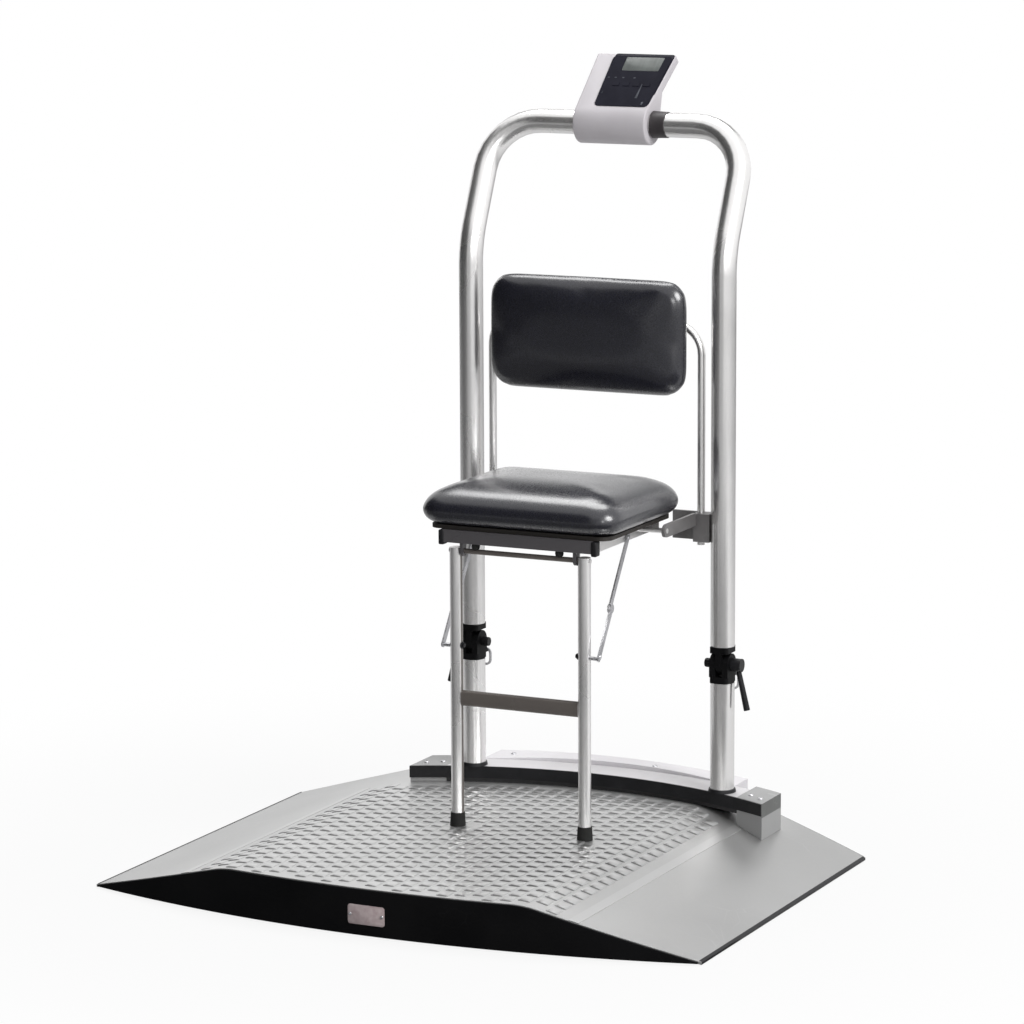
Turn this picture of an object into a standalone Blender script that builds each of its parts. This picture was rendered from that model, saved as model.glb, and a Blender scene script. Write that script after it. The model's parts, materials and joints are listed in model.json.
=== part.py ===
"""Wheelchair scale: a ramped platform with a handrail, a folding seat and a display head.

Lengths are in metres and +Z is up. The ramps run along X and the seat faces -Y.
Every piece hangs from one empty. Inside it, Y is measured from the chord between the two
front ramp tips, and the empty brings the middle of the whole scale's box to the origin.
"""

import math

import bmesh
import bpy
from mathutils import Vector

# Driving sizes
PLATFORM_LENGTH = 1.000
PLATFORM_DEPTH = 0.640
EDGE_BOW = 0.071
DECK_HEIGHT = 0.0725
PLATEAU_HALF = 0.246
HANDRAIL_HEIGHT = 1.126
RAIL_DIAMETER = 0.038
SEAT_HEIGHT = 0.606
SEAT_WIDTH = 0.336
SEAT_DEPTH = 0.275
UPPER_MIDDLE = 0.0625

# Clearances
GAP = 0.0003
RUNNING = 0.0006
CUT_OVERRUN = 0.002

# Platform
DECK_PLATE = 0.004
TIP_HEIGHT = 0.005
KINK_ROUND = 0.020
SKIRT_PLATE = 0.003
SKIRT_LIFT = 0.003
SKIRT_DROP = 0.001
SKIRT_END = 0.004
FRAME_RAIL = 0.024
FRAME_SPREAD = 0.400
FRAME_INSET = 0.090
CELL_LENGTH = 0.130
CELL_WIDTH = 0.030
CELL_HEIGHT = 0.022
FOOT_DIAMETER = 0.044
FOOT_HEIGHT = 0.011
STUD_DIAMETER = 0.012

# Rear beam
BEAM_SETBACK = 0.100
BEAM_BOW = 0.075
BEAM_OVERHANG = 0.0885
BEAM_WALL = 0.055
BEAM_HEIGHT = 0.026
FASCIA_PLATE = 0.003
FASCIA_LIFT = 0.0067
END_BLOCK_LENGTH = 0.052
END_BLOCK_DEPTH = 0.078
COVER_OVERHANG = 0.0045
COVER_CROWN = 0.007
COVER_SETBACK = 0.004

# Posts and fold hinges
POST_SETBACK = 0.052
POST_CLEAR = 0.048
BASE_RING_DIAMETER = 0.044
BASE_RING_HEIGHT = 0.005
BASE_RING_WALL = 0.0018
HINGE_RISE = 0.203
BLOCK_WIDTH = 0.031
BLOCK_DEPTH = 0.036
BLOCK_REACH = 0.0285
KNUCKLE_RADIUS = 0.0175
TONGUE_WIDTH = 0.011
BOLT_DIAMETER = 0.008
LEVER_HUB_DIAMETER = 0.021
LEVER_HUB_WIDTH = 0.017
LEVER_LENGTH = 0.072
LEVER_SPLAY = math.radians(13)
LEVER_END_DIAMETER = 0.010
LEVER_ROOT_SHARE = 0.45
LEVER_NECK_SHARE = 0.75
KNOB_DIAMETER = 0.0135
KNOB_WIDTH = 0.0125
KNOB_SHAFT_DIAMETER = 0.005
KNOB_SHAFT_LENGTH = 0.0085
PIN_DIAMETER = 0.004
PIN_REACH = 0.034
PIN_TAIL = 0.007
RING_WIDTH = 0.019
RING_HEIGHT = 0.029
RING_BAR = 0.0035
RING_PLATE = 0.003
RING_ROUND_SHARE = 0.98

# Handrail
LEAN_ANGLE = math.radians(25)
LEAN_RISE = 0.186
LEAN_RADIUS = 0.150
CORNER_RADIUS = 0.082

# Seat brackets and backrest
BRACKET_HEIGHT = 0.044
BRACKET_DROP = 0.035
BRACKET_PLATE = 0.006
BRACKET_TUCK = 0.040
LUG_DEPTH = 0.026
ARM_PLATE = 0.005
ARM_HEIGHT = 0.020
ARM_CLEAR = 0.0025
BACK_TUBE_DIAMETER = 0.012
BACK_TUBE_CLEAR = 0.005
BACK_TUBE_FOOT = 0.006
BACK_CROSS_RISE = 0.222
BACK_BEND_RADIUS = 0.045
PAD_WIDTH = 0.336
PAD_ABOVE_CROSS = 0.073
PAD_HEIGHT = 0.183
PAD_THICKNESS = 0.037
PAD_CORNER = 0.036
PAD_CROWN = 0.005
BOARD_PLATE = 0.006

# Seat frame, legs and stays
SEAT_CLEAR = 0.006
SEAT_HINGE_INSET = 0.097
SEAT_HINGE_DROP = 0.0074
SEAT_ROD_DIAMETER = 0.008
RAIL_BOX_WIDTH = 0.016
RAIL_BOX_HEIGHT = 0.020
RAIL_TUCK = 0.042
CUSHION_DEPTH = 0.048
CUSHION_CORNER = 0.036
CUSHION_CROWN = 0.016
LEG_INSET = 0.0266
LEG_PIVOT_DROP = 0.013
LEG_DIAMETER = 0.0195
LEG_TUCK = 0.00875
LEG_ROD_DIAMETER = 0.008
RUNG_RISE = 0.2015
RUNG_TALL = 0.024
RUNG_DEEP = 0.012
RUNG_ROUND_SHARE = 0.45
FERRULE_DIAMETER = 0.0245
FERRULE_HEIGHT = 0.021
STAY_TOP_REACH = 0.113
STAY_TOP_DROP = 0.003
STAY_FOOT_DROP = 0.148
STAY_SPLIT = 0.59
STAY_PLATE = 0.0026
STAY_WIDTH = 0.009
STAY_HUB_DIAMETER = 0.014
STAY_END_SHARE = 0.8
STAY_PIN_DIAMETER = 0.006

# Display head
HEAD_LEFT = 0.0655
HEAD_RIGHT = 0.0655
HEAD_FLARE_LOW = -0.008
HEAD_FLARE_HIGH = 0.004
HEAD_RADIUS = 0.0325
HEAD_TILT = math.radians(47)
HEAD_LENGTH = 0.118
HEAD_BACK = 0.016
HEAD_NECK = 0.052
HEAD_WRAP = math.radians(266)
HEAD_EDGE = 0.003
PANEL_CORNER = 0.007
PANEL_WIDTH = 0.098
PANEL_START = 0.006
PANEL_LENGTH = 0.106
PANEL_PLATE = 0.0024
PANEL_POCKET = 0.0016
PANEL_MARGIN = 0.0025
WINDOW_WIDTH = 0.062
WINDOW_HEIGHT = 0.021
WINDOW_INSET = 0.010
WINDOW_SIDE_SHARE = 0.13
WINDOW_POCKET = 0.0010
KEY_WIDTH = 0.012
KEY_HEIGHT = 0.008
KEY_PROUD = 0.0014
KEY_PITCH = 0.0175
KEY_COUNT = 4
KEY_ROW = 0.052
KEY_TRAVEL = 0.0008
COLLAR_WIDTH = 0.024
COLLAR_RADIUS = 0.0213

# A cushion's section from its base up: each pair is a height and how far the side is drawn in.
# Heights are shares of the padding or, in the second table, of the crown, and insets are shares
# of the seam.
CUSHION_SIDE_SHARES = (
    (0, 2.0), (0.12, 0.9), (0.28, 0.15), (0.45, 0), (0.62, 0.25), (0.78, 0.85), (0.90, 1.55), (1, 2.4),
)
CUSHION_CROWN_SHARES = ((0.5, 4.6), (0.85, 7.0), (1, 9.5))

SIDES = (("left", -1), ("right", 1))

# What follows from them
HALF = PLATFORM_LENGTH / 2
DECK_TOP = DECK_HEIGHT
BEAM_TOP = DECK_TOP + BEAM_HEIGHT
CUSHION_HALF = SEAT_WIDTH / 2
POST_HALF = CUSHION_HALF + POST_CLEAR
BEAM_HALF = POST_HALF + BEAM_OVERHANG
RAIL_RADIUS = RAIL_DIAMETER / 2
BEAM_FRONT = PLATFORM_DEPTH - BEAM_SETBACK
POST_Y = BEAM_FRONT + POST_SETBACK
HINGE_HEIGHT = BEAM_TOP + HINGE_RISE
PIN_Z = HINGE_HEIGHT - BLOCK_REACH + PIN_DIAMETER / 2 + RUNNING
RING_Y = POST_Y + BLOCK_DEPTH / 2 + PIN_REACH - PIN_TAIL
LEAN_START = HANDRAIL_HEIGHT - LEAN_RISE
BAR_Y = POST_Y + LEAN_RISE * math.tan(LEAN_ANGLE)
SEAT_REAR = POST_Y - RAIL_RADIUS - SEAT_CLEAR
SEAT_FRONT = SEAT_REAR - SEAT_DEPTH - RUNNING
CUSHION_BOTTOM = SEAT_HEIGHT - CUSHION_CROWN - CUSHION_DEPTH
BOARD_BOTTOM = CUSHION_BOTTOM - GAP - BOARD_PLATE
RAIL_TOP = BOARD_BOTTOM - GAP
RAIL_BOTTOM = RAIL_TOP - RAIL_BOX_HEIGHT
RAIL_SPREAD = 2 * (CUSHION_HALF - RAIL_TUCK) - RAIL_BOX_WIDTH
HINGE_Y = SEAT_REAR - SEAT_HINGE_INSET
HINGE_Z = RAIL_TOP - SEAT_HINGE_DROP
LEG_Y = SEAT_FRONT + LEG_INSET
LEG_PIVOT_Z = RAIL_BOTTOM - LEG_PIVOT_DROP
LEG_SPREAD = RAIL_SPREAD + RAIL_BOX_WIDTH - LEG_DIAMETER - 2 * LEG_TUCK
RUNG_HEIGHT = DECK_TOP + RUNG_RISE
STAY_TOP_Y = LEG_Y + STAY_TOP_REACH
TUBE_HALF = CUSHION_HALF + BACK_TUBE_CLEAR + BACK_TUBE_DIAMETER / 2
BRACKET_BOTTOM = HINGE_Z - BRACKET_DROP
BRACKET_INNER = CUSHION_HALF - BRACKET_TUCK
BACK_CROSS_HEIGHT = SEAT_HEIGHT + BACK_CROSS_RISE
BACKREST_TOP = BACK_CROSS_HEIGHT + PAD_ABOVE_CROSS
ARM_X = CUSHION_HALF + ARM_CLEAR
BRACKET_TOP = BRACKET_BOTTOM + BRACKET_HEIGHT
PAD_BACK = POST_Y - BACK_TUBE_DIAMETER / 2 - GAP - BOARD_PLATE - GAP
FRONT_REACH = EDGE_BOW + SKIRT_PLATE + GAP
HEAD_REAR = (HEAD_LENGTH - HEAD_EDGE) * math.sin(HEAD_TILT) - (HEAD_BACK + HEAD_EDGE) * math.cos(HEAD_TILT)
REAR_REACH = BAR_Y + HEAD_REAR + HEAD_EDGE
Y_SHIFT = (FRONT_REACH - REAR_REACH) / 2


def material(name, colour, roughness, metallic=0.0):
    made = bpy.data.materials.new(name)
    made.use_nodes = True
    shader = made.node_tree.nodes["Principled BSDF"]
    shader.inputs["Base Color"].default_value = (*colour, 1)
    shader.inputs["Roughness"].default_value = roughness
    shader.inputs["Metallic"].default_value = metallic
    made.diffuse_color = (*colour, 1)
    return made


def clear_scene():
    for obj in list(bpy.data.objects):
        bpy.data.objects.remove(obj)


clear_scene()
FRAME = bpy.data.objects.new("scale_frame", None)
FRAME.location = (0, Y_SHIFT, 0)
bpy.context.collection.objects.link(FRAME)

SILVER = material("satin_silver", (0.72, 0.72, 0.71), 0.30, 0.9)
DECK = material("satin_deck", (0.42, 0.42, 0.43), 0.38, 0.7)
PALE = material("pale_grey", (0.62, 0.61, 0.60), 0.45)
BLACK = material("black_plastic", (0.02, 0.02, 0.022), 0.45)
RUBBER = material("black_rubber", (0.025, 0.025, 0.025), 0.8)
LEATHER = material("black_leatherette", (0.022, 0.024, 0.032), 0.35)
STEEL = material("zinc_steel", (0.55, 0.55, 0.56), 0.35, 0.9)
GLASS = material("display_window", (0.45, 0.48, 0.47), 0.25)
BOARD = material("seat_board", (0.30, 0.24, 0.17), 0.7)


def add(name, mesh, look, helper=False):
    """Links a mesh as a named piece under the frame. A helper only cuts or joins."""
    obj = bpy.data.objects.new(name, mesh)
    obj.data.materials.append(look)
    bpy.context.collection.objects.link(obj)
    obj.parent = FRAME
    if helper:
        obj.hide_render = True
        obj.display_type = "WIRE"
    return obj


def mesh_of(name, points, faces):
    mesh = bpy.data.meshes.new(name)
    built = bmesh.new()
    corners = [built.verts.new(point) for point in points]
    for face in faces:
        built.faces.new([corners[i] for i in face])
    bmesh.ops.recalc_face_normals(built, faces=built.faces)
    built.to_mesh(mesh)
    built.free()
    return mesh


def loft(name, rings, look, helper=False):
    """One closed body through rings of equal length, capped at both ends."""
    count = len(rings[0])
    points = [point for ring in rings for point in ring]
    faces = []
    for row in range(len(rings) - 1):
        for i in range(count):
            j = (i + 1) % count
            base, above = row * count, (row + 1) * count
            faces.append((base + i, base + j, above + j, above + i))
    last = (len(rings) - 1) * count
    faces.append(tuple(range(count))[::-1])
    faces.append(tuple(last + i for i in range(count)))
    return add(name, mesh_of(name, points, faces), look, helper)


def prism(name, outline, axis, low, high, look, helper=False):
    """Extrudes a closed outline along X, Y or Z. The outline gives the other two, in order."""
    slot = "XYZ".index(axis)
    rings = []
    for level in (low, high):
        ring = []
        for pair in outline:
            point = list(pair)
            point.insert(slot, level)
            ring.append(tuple(point))
        rings.append(ring)
    return loft(name, rings, look, helper)


def box_outline(a_low, a_high, b_low, b_high):
    return [(a_low, b_low), (a_high, b_low), (a_high, b_high), (a_low, b_high)]


def circle(radius, a=0.0, b=0.0, steps=24):
    turns = [2 * math.pi * i / steps for i in range(steps)]
    return [(a + radius * math.cos(t), b + radius * math.sin(t)) for t in turns]


def rounded(half_a, half_b, corner, a=0.0, b=0.0, steps=6):
    """A rounded rectangle around (a, b)."""
    points = []
    corners = ((1, 1, 0), (-1, 1, 1), (-1, -1, 2), (1, -1, 3))
    for sign_a, sign_b, quarter in corners:
        for i in range(steps + 1):
            turn = math.pi / 2 * (quarter + i / steps)
            points.append((
                a + sign_a * (half_a - corner) + corner * math.cos(turn),
                b + sign_b * (half_b - corner) + corner * math.sin(turn),
            ))
    return points


def rod(name, start, end, radius, look, helper=False, end_radius=None, steps=24):
    """A round bar between two points, tapered when an end radius is given."""
    start, end = Vector(start), Vector(end)
    turn = (end - start).to_track_quat("Z", "Y")
    rings = []
    for point, size in ((start, radius), (end, end_radius or radius)):
        rings.append([tuple(point + turn @ Vector((a, b, 0))) for a, b in circle(size, steps=steps)])
    return loft(name, rings, look, helper)


def tube(name, points, radius, look, helper=False, resolution=4):
    curve = bpy.data.curves.new(name, "CURVE")
    curve.dimensions = "3D"
    curve.bevel_depth = radius
    curve.bevel_resolution = resolution
    curve.use_fill_caps = True
    spline = curve.splines.new("POLY")
    spline.points.add(len(points) - 1)
    for place, point in zip(spline.points, points):
        place.co = (*point, 1)
    return add(name, curve, look, helper)


def bent_path(corners, radii, steps=8):
    """The corner points joined by straight runs, each inner corner rounded to its radius."""
    path = [Vector(corners[0])]
    for before, corner, after, radius in zip(corners, corners[1:], corners[2:], radii):
        corner = Vector(corner)
        inward = (corner - Vector(before)).normalized()
        outward = (Vector(after) - corner).normalized()
        turn = inward.angle(outward)
        reach = radius * math.tan(turn / 2)
        side = (outward - inward * inward.dot(outward)).normalized()
        centre = corner - inward * reach + side * radius
        for i in range(steps + 1):
            part = turn * i / steps
            path.append(centre - side * radius * math.cos(part) + inward * radius * math.sin(part))
    path.append(Vector(corners[-1]))
    return path


def combine(obj, other, operation):
    change = obj.modifiers.new(f"{operation.lower()}_{other.name}", "BOOLEAN")
    change.operation = operation
    change.object = other
    change.solver = "EXACT"


def bow(x, half, sagitta):
    """How far an arc over a chord of two halves stands off it at x."""
    radius = (half * half + sagitta * sagitta) / (2 * sagitta)
    return math.sqrt(radius * radius - x * x) - (radius - sagitta)


def deck_top(x):
    """The deck's upper surface: flat, a rounded kink, then the ramp down to the tip."""
    run = HALF - PLATEAU_HALF
    slope = (DECK_TOP - TIP_HEIGHT) / run
    past = abs(x) - PLATEAU_HALF
    if past <= -KINK_ROUND:
        return DECK_TOP
    if past < KINK_ROUND:
        return DECK_TOP - slope * (past + KINK_ROUND) ** 2 / (4 * KINK_ROUND)
    return DECK_TOP - slope * past


def edge_out(x):
    return bow(x, HALF, EDGE_BOW)


def beam_front(x):
    return BEAM_FRONT + bow(x - UPPER_MIDDLE, BEAM_HALF, BEAM_BOW)


def stations(low, high, count):
    return [low + (high - low) * i / count for i in range(count + 1)]


def deck_stations(end):
    """Even steps, with closer ones where the deck bends."""
    inner = PLATEAU_HALF - KINK_ROUND
    outer = PLATEAU_HALF + KINK_ROUND
    right = stations(inner, outer, 4)[:-1] + stations(outer, end, 8)
    return [-x for x in right[::-1]] + stations(-inner, inner, 14)[1:-1] + right


def over_deck(low, high, count):
    """Even steps, with the deck's own where it bends, so that a piece lies on it without cutting in."""
    bends = [x for x in deck_stations(HALF) if low + GAP < x < high - GAP]
    even = [x for x in stations(low, high, count)[1:-1] if min(abs(x - b) for b in bends + [low]) > GAP]
    return [low] + sorted(even + bends) + [high]


def sheet(name, places, front, rear, bottom, top, look, helper=False):
    """A body swept along X from four edges, each a function of x."""
    rings = []
    for x in places:
        rings.append([
            (x, front(x), bottom(x)), (x, rear(x), bottom(x)), (x, rear(x), top(x)), (x, front(x), top(x)),
        ])
    return loft(name, rings, look, helper)


def platform():
    places = deck_stations(HALF)
    sheet(
        "deck", places,
        lambda x: -edge_out(x), lambda x: PLATFORM_DEPTH + edge_out(x),
        lambda x: deck_top(x) - DECK_PLATE, deck_top, DECK,
    )
    inner = deck_stations(HALF - SKIRT_END)
    out = SKIRT_PLATE + GAP
    sheet(
        "skirt_front", inner,
        lambda x: -edge_out(x) - out, lambda x: -edge_out(x) - GAP,
        lambda x: SKIRT_LIFT, lambda x: deck_top(x) - SKIRT_DROP, BLACK,
    )
    sheet(
        "skirt_rear", inner,
        lambda x: PLATFORM_DEPTH + edge_out(x) + GAP, lambda x: PLATFORM_DEPTH + edge_out(x) + out,
        lambda x: SKIRT_LIFT, lambda x: deck_top(x) - SKIRT_DROP, BLACK,
    )


def under_frame():
    """Two rails carry the deck, two more tie them, and a load cell hangs at each end."""
    top = DECK_TOP - DECK_PLATE - GAP
    bottom = top - FRAME_RAIL
    spread, half = FRAME_SPREAD / 2, FRAME_RAIL / 2
    front, rear = FRAME_INSET, PLATFORM_DEPTH - FRAME_INSET
    frame = prism(
        "under_frame", box_outline(-spread - half, spread + half, front - half, rear + half),
        "Z", bottom, top, BLACK,
    )
    window = prism(
        "under_frame_window", box_outline(-spread + half, spread - half, front + half, rear - half),
        "Z", bottom - CUT_OVERRUN, top + CUT_OVERRUN, BLACK, True,
    )
    combine(frame, window, "DIFFERENCE")
    cell_top = bottom - GAP
    cell_bottom = cell_top - CELL_HEIGHT
    stud = STUD_DIAMETER / 2
    for side, sign in SIDES:
        for end, y, inward in (("front", front, 1), ("rear", rear, -1)):
            start = y - inward * half
            cell = prism(
                f"load_cell_{end}_{side}",
                box_outline(
                    sign * spread - CELL_WIDTH / 2, sign * spread + CELL_WIDTH / 2,
                    min(start, start + inward * CELL_LENGTH), max(start, start + inward * CELL_LENGTH),
                ),
                "Z", cell_bottom, cell_top, STEEL,
            )
            x, y_foot = sign * spread, start + inward * FOOT_DIAMETER / 2
            bore = rod(
                f"cell_bore_{end}_{side}", (x, y_foot, cell_bottom - CUT_OVERRUN),
                (x, y_foot, cell_bottom + CELL_HEIGHT / 2), stud + GAP, STEEL, True,
            )
            combine(cell, bore, "DIFFERENCE")
            foot = prism(
                f"foot_{end}_{side}", circle(FOOT_DIAMETER / 2, x, y_foot), "Z",
                0, FOOT_HEIGHT, RUBBER,
            )
            post = rod(
                f"foot_stud_{end}_{side}", (x, y_foot, FOOT_HEIGHT / 2),
                (x, y_foot, cell_bottom + CELL_HEIGHT / 2 - GAP), stud, STEEL, True,
            )
            combine(foot, post, "UNION")


def rear_beam():
    floor = DECK_TOP + GAP
    body_half = BEAM_HALF - END_BLOCK_LENGTH - GAP
    middle = UPPER_MIDDLE
    sheet(
        "beam_body", stations(middle - body_half, middle + body_half, 18),
        beam_front, lambda x: beam_front(x) + BEAM_WALL, lambda x: floor, lambda x: BEAM_TOP, PALE,
    )
    sheet(
        "beam_fascia", stations(middle - BEAM_HALF, middle + BEAM_HALF, 22),
        lambda x: beam_front(x) - GAP - FASCIA_PLATE, lambda x: beam_front(x) - GAP,
        lambda x: floor + FASCIA_LIFT, lambda x: BEAM_TOP, BLACK,
    )
    cover_half = POST_HALF + COVER_OVERHANG
    sheet(
        "beam_cover", over_deck(middle - cover_half, middle + cover_half, 16),
        lambda x: beam_front(x) + BEAM_WALL + GAP,
        lambda x: PLATFORM_DEPTH + edge_out(x) - COVER_SETBACK,
        lambda x: deck_top(x) + GAP,
        lambda x: BEAM_TOP + bow(x - middle, cover_half, COVER_CROWN), PALE,
    )
    for side, sign in SIDES:
        ends = sorted((middle + sign * BEAM_HALF, middle + sign * (BEAM_HALF - END_BLOCK_LENGTH)))
        sheet(
            f"end_block_{side}", over_deck(*ends, 4),
            beam_front, lambda x: beam_front(x) + END_BLOCK_DEPTH,
            lambda x: deck_top(x) + GAP, lambda x: BEAM_TOP, PALE,
        )


def post_stub(side, sign):
    """Base ring, stub tube and the lower half of the fold hinge."""
    x = UPPER_MIDDLE + sign * POST_HALF
    floor = BEAM_TOP + GAP
    block_low = HINGE_HEIGHT - BLOCK_REACH
    ring = rod(
        f"base_ring_{side}", (x, POST_Y, floor), (x, POST_Y, floor + BASE_RING_HEIGHT),
        BASE_RING_DIAMETER / 2, BLACK, end_radius=RAIL_RADIUS + BASE_RING_WALL,
    )
    hole = rod(
        f"base_hole_{side}", (x, POST_Y, floor - CUT_OVERRUN),
        (x, POST_Y, floor + BASE_RING_HEIGHT + CUT_OVERRUN), RAIL_RADIUS + GAP, BLACK, True,
    )
    combine(ring, hole, "DIFFERENCE")
    rod(f"post_stub_{side}", (x, POST_Y, floor), (x, POST_Y, block_low - GAP), RAIL_RADIUS, SILVER)


def hinge(side, sign):
    """A fork below, a tongue above, the bolt between them, its lever and the pull knob."""
    x, y, z = UPPER_MIDDLE + sign * POST_HALF, POST_Y, HINGE_HEIGHT
    half_w, half_d, slot = BLOCK_WIDTH / 2, BLOCK_DEPTH / 2, TONGUE_WIDTH / 2
    shoulder = KNUCKLE_RADIUS + 2 * RUNNING
    bolt = BOLT_DIAMETER / 2
    inner = x - sign * half_w
    bore_end = inner + sign * (KNOB_SHAFT_LENGTH + GAP)
    fork = prism(
        f"hinge_fork_{side}", rounded(half_w, half_d, LEVER_END_DIAMETER / 2, x, y, 4), "Z",
        z - BLOCK_REACH, z - shoulder, BLACK,
    )
    cheeks = prism(
        f"fork_cheeks_{side}", knuckle(y, z, -1, shoulder), "X", x - half_w, x + half_w, BLACK, True,
    )
    channel = prism(
        f"fork_channel_{side}",
        box_outline(y - BLOCK_DEPTH, y + BLOCK_DEPTH, z - shoulder, z + BLOCK_REACH),
        "X", x - slot - GAP, x + slot + GAP, BLACK, True,
    )
    through = rod(
        f"fork_bolt_{side}", (bore_end, y, z), (x + sign * (half_w - GAP), y, z), bolt, STEEL, True,
    )
    pin = rod(
        f"fork_pin_{side}", (x, y, PIN_Z), (x, y + half_d + PIN_REACH, PIN_Z), PIN_DIAMETER / 2, STEEL, True,
        steps=16,
    )
    socket = rod(
        f"fork_socket_{side}", (inner - sign * CUT_OVERRUN, y, z), (bore_end, y, z),
        KNOB_SHAFT_DIAMETER / 2 + GAP, STEEL, True,
    )
    for other, operation in (
        (cheeks, "UNION"), (channel, "DIFFERENCE"), (through, "UNION"), (pin, "UNION"),
        (socket, "DIFFERENCE"),
    ):
        combine(fork, other, operation)
    tongue = prism(
        f"hinge_tongue_{side}", rounded(half_w, half_d, LEVER_END_DIAMETER / 2, x, y, 4), "Z",
        z + shoulder, z + BLOCK_REACH, BLACK,
    )
    leaf = prism(
        f"tongue_leaf_{side}", knuckle(y, z, 1, shoulder), "X", x - slot, x + slot, BLACK, True,
    )
    bore = rod(
        f"tongue_bore_{side}", (x - half_w, y, z), (x + half_w, y, z), bolt + GAP, BLACK, True,
    )
    combine(tongue, leaf, "UNION")
    combine(tongue, bore, "DIFFERENCE")
    lever(side, sign, x + sign * half_w, y, z)
    knob = rod(
        f"release_knob_{side}", (inner - sign * GAP, y, z), (inner - sign * (GAP + KNOB_WIDTH), y, z),
        KNOB_DIAMETER / 2, BLACK,
    )
    shaft = rod(
        f"knob_shaft_{side}", (inner - sign * KNOB_WIDTH / 2, y, z),
        (inner + sign * KNOB_SHAFT_LENGTH, y, z), KNOB_SHAFT_DIAMETER / 2, STEEL, True,
    )
    combine(knob, shaft, "UNION")
    pull_ring(side, x)


def knuckle(y, z, direction, shoulder):
    """The rounded end of a fork or tongue, seen along the bolt, reaching into its own block."""
    radius = KNUCKLE_RADIUS
    points = [(y + radius, z + direction * (shoulder + GAP))]
    for i in range(13):
        turn = math.pi * i / 12
        points.append((y + radius * math.cos(turn), z - direction * radius * math.sin(turn)))
    points.append((y - radius, z + direction * (shoulder + GAP)))
    return points


def lever(side, sign, face, y, z):
    """Clamp lever: a hub on the bolt's end and a tapered handle that hangs and splays out."""
    hub_in, hub_out = face + sign * GAP, face + sign * (GAP + LEVER_HUB_WIDTH)
    hub = rod(f"clamp_lever_{side}", (hub_in, y, z), (hub_out, y, z), LEVER_HUB_DIAMETER / 2, BLACK)
    grip = LEVER_END_DIAMETER / 2
    start = (hub_out - sign * LEVER_HUB_WIDTH * LEVER_ROOT_SHARE, y, z)
    end = (
        start[0] + sign * LEVER_LENGTH * math.sin(LEVER_SPLAY), y, z - LEVER_LENGTH * math.cos(LEVER_SPLAY),
    )
    neck = grip * LEVER_NECK_SHARE
    arm = rod(f"lever_arm_{side}", start, end, neck, BLACK, True, end_radius=grip, steps=16)
    combine(hub, arm, "UNION")


def pull_ring(side, x):
    """A flat ring that hangs from the lock pin's tail."""
    half_a, half_b = RING_WIDTH / 2, RING_HEIGHT / 2
    hole_a, hole_b = half_a - RING_BAR, half_b - RING_BAR
    centre = PIN_Z + PIN_DIAMETER / 2 + GAP - hole_b
    low, high = RING_Y - RING_PLATE / 2, RING_Y + RING_PLATE / 2
    outer = rounded(half_a, half_b, half_a * RING_ROUND_SHARE, x, centre)
    inner = rounded(hole_a, hole_b, hole_a * RING_ROUND_SHARE, x, centre)
    ring = prism(f"pull_ring_{side}", outer, "Y", low, high, STEEL)
    hole = prism(f"ring_hole_{side}", inner, "Y", low - CUT_OVERRUN, high + CUT_OVERRUN, STEEL, True)
    combine(ring, hole, "DIFFERENCE")


def handrail():
    """The upper tube: two posts that lean back near the top and the bar between them."""
    left, right = UPPER_MIDDLE - POST_HALF, UPPER_MIDDLE + POST_HALF
    foot = HINGE_HEIGHT + BLOCK_REACH + GAP
    corners = [
        (left, POST_Y, foot), (left, POST_Y, LEAN_START), (left, BAR_Y, HANDRAIL_HEIGHT),
        (right, BAR_Y, HANDRAIL_HEIGHT), (right, POST_Y, LEAN_START), (right, POST_Y, foot),
    ]
    radii = [LEAN_RADIUS, CORNER_RADIUS, CORNER_RADIUS, LEAN_RADIUS]
    tube("handrail", bent_path(corners, radii), RAIL_RADIUS, SILVER, resolution=6)


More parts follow.
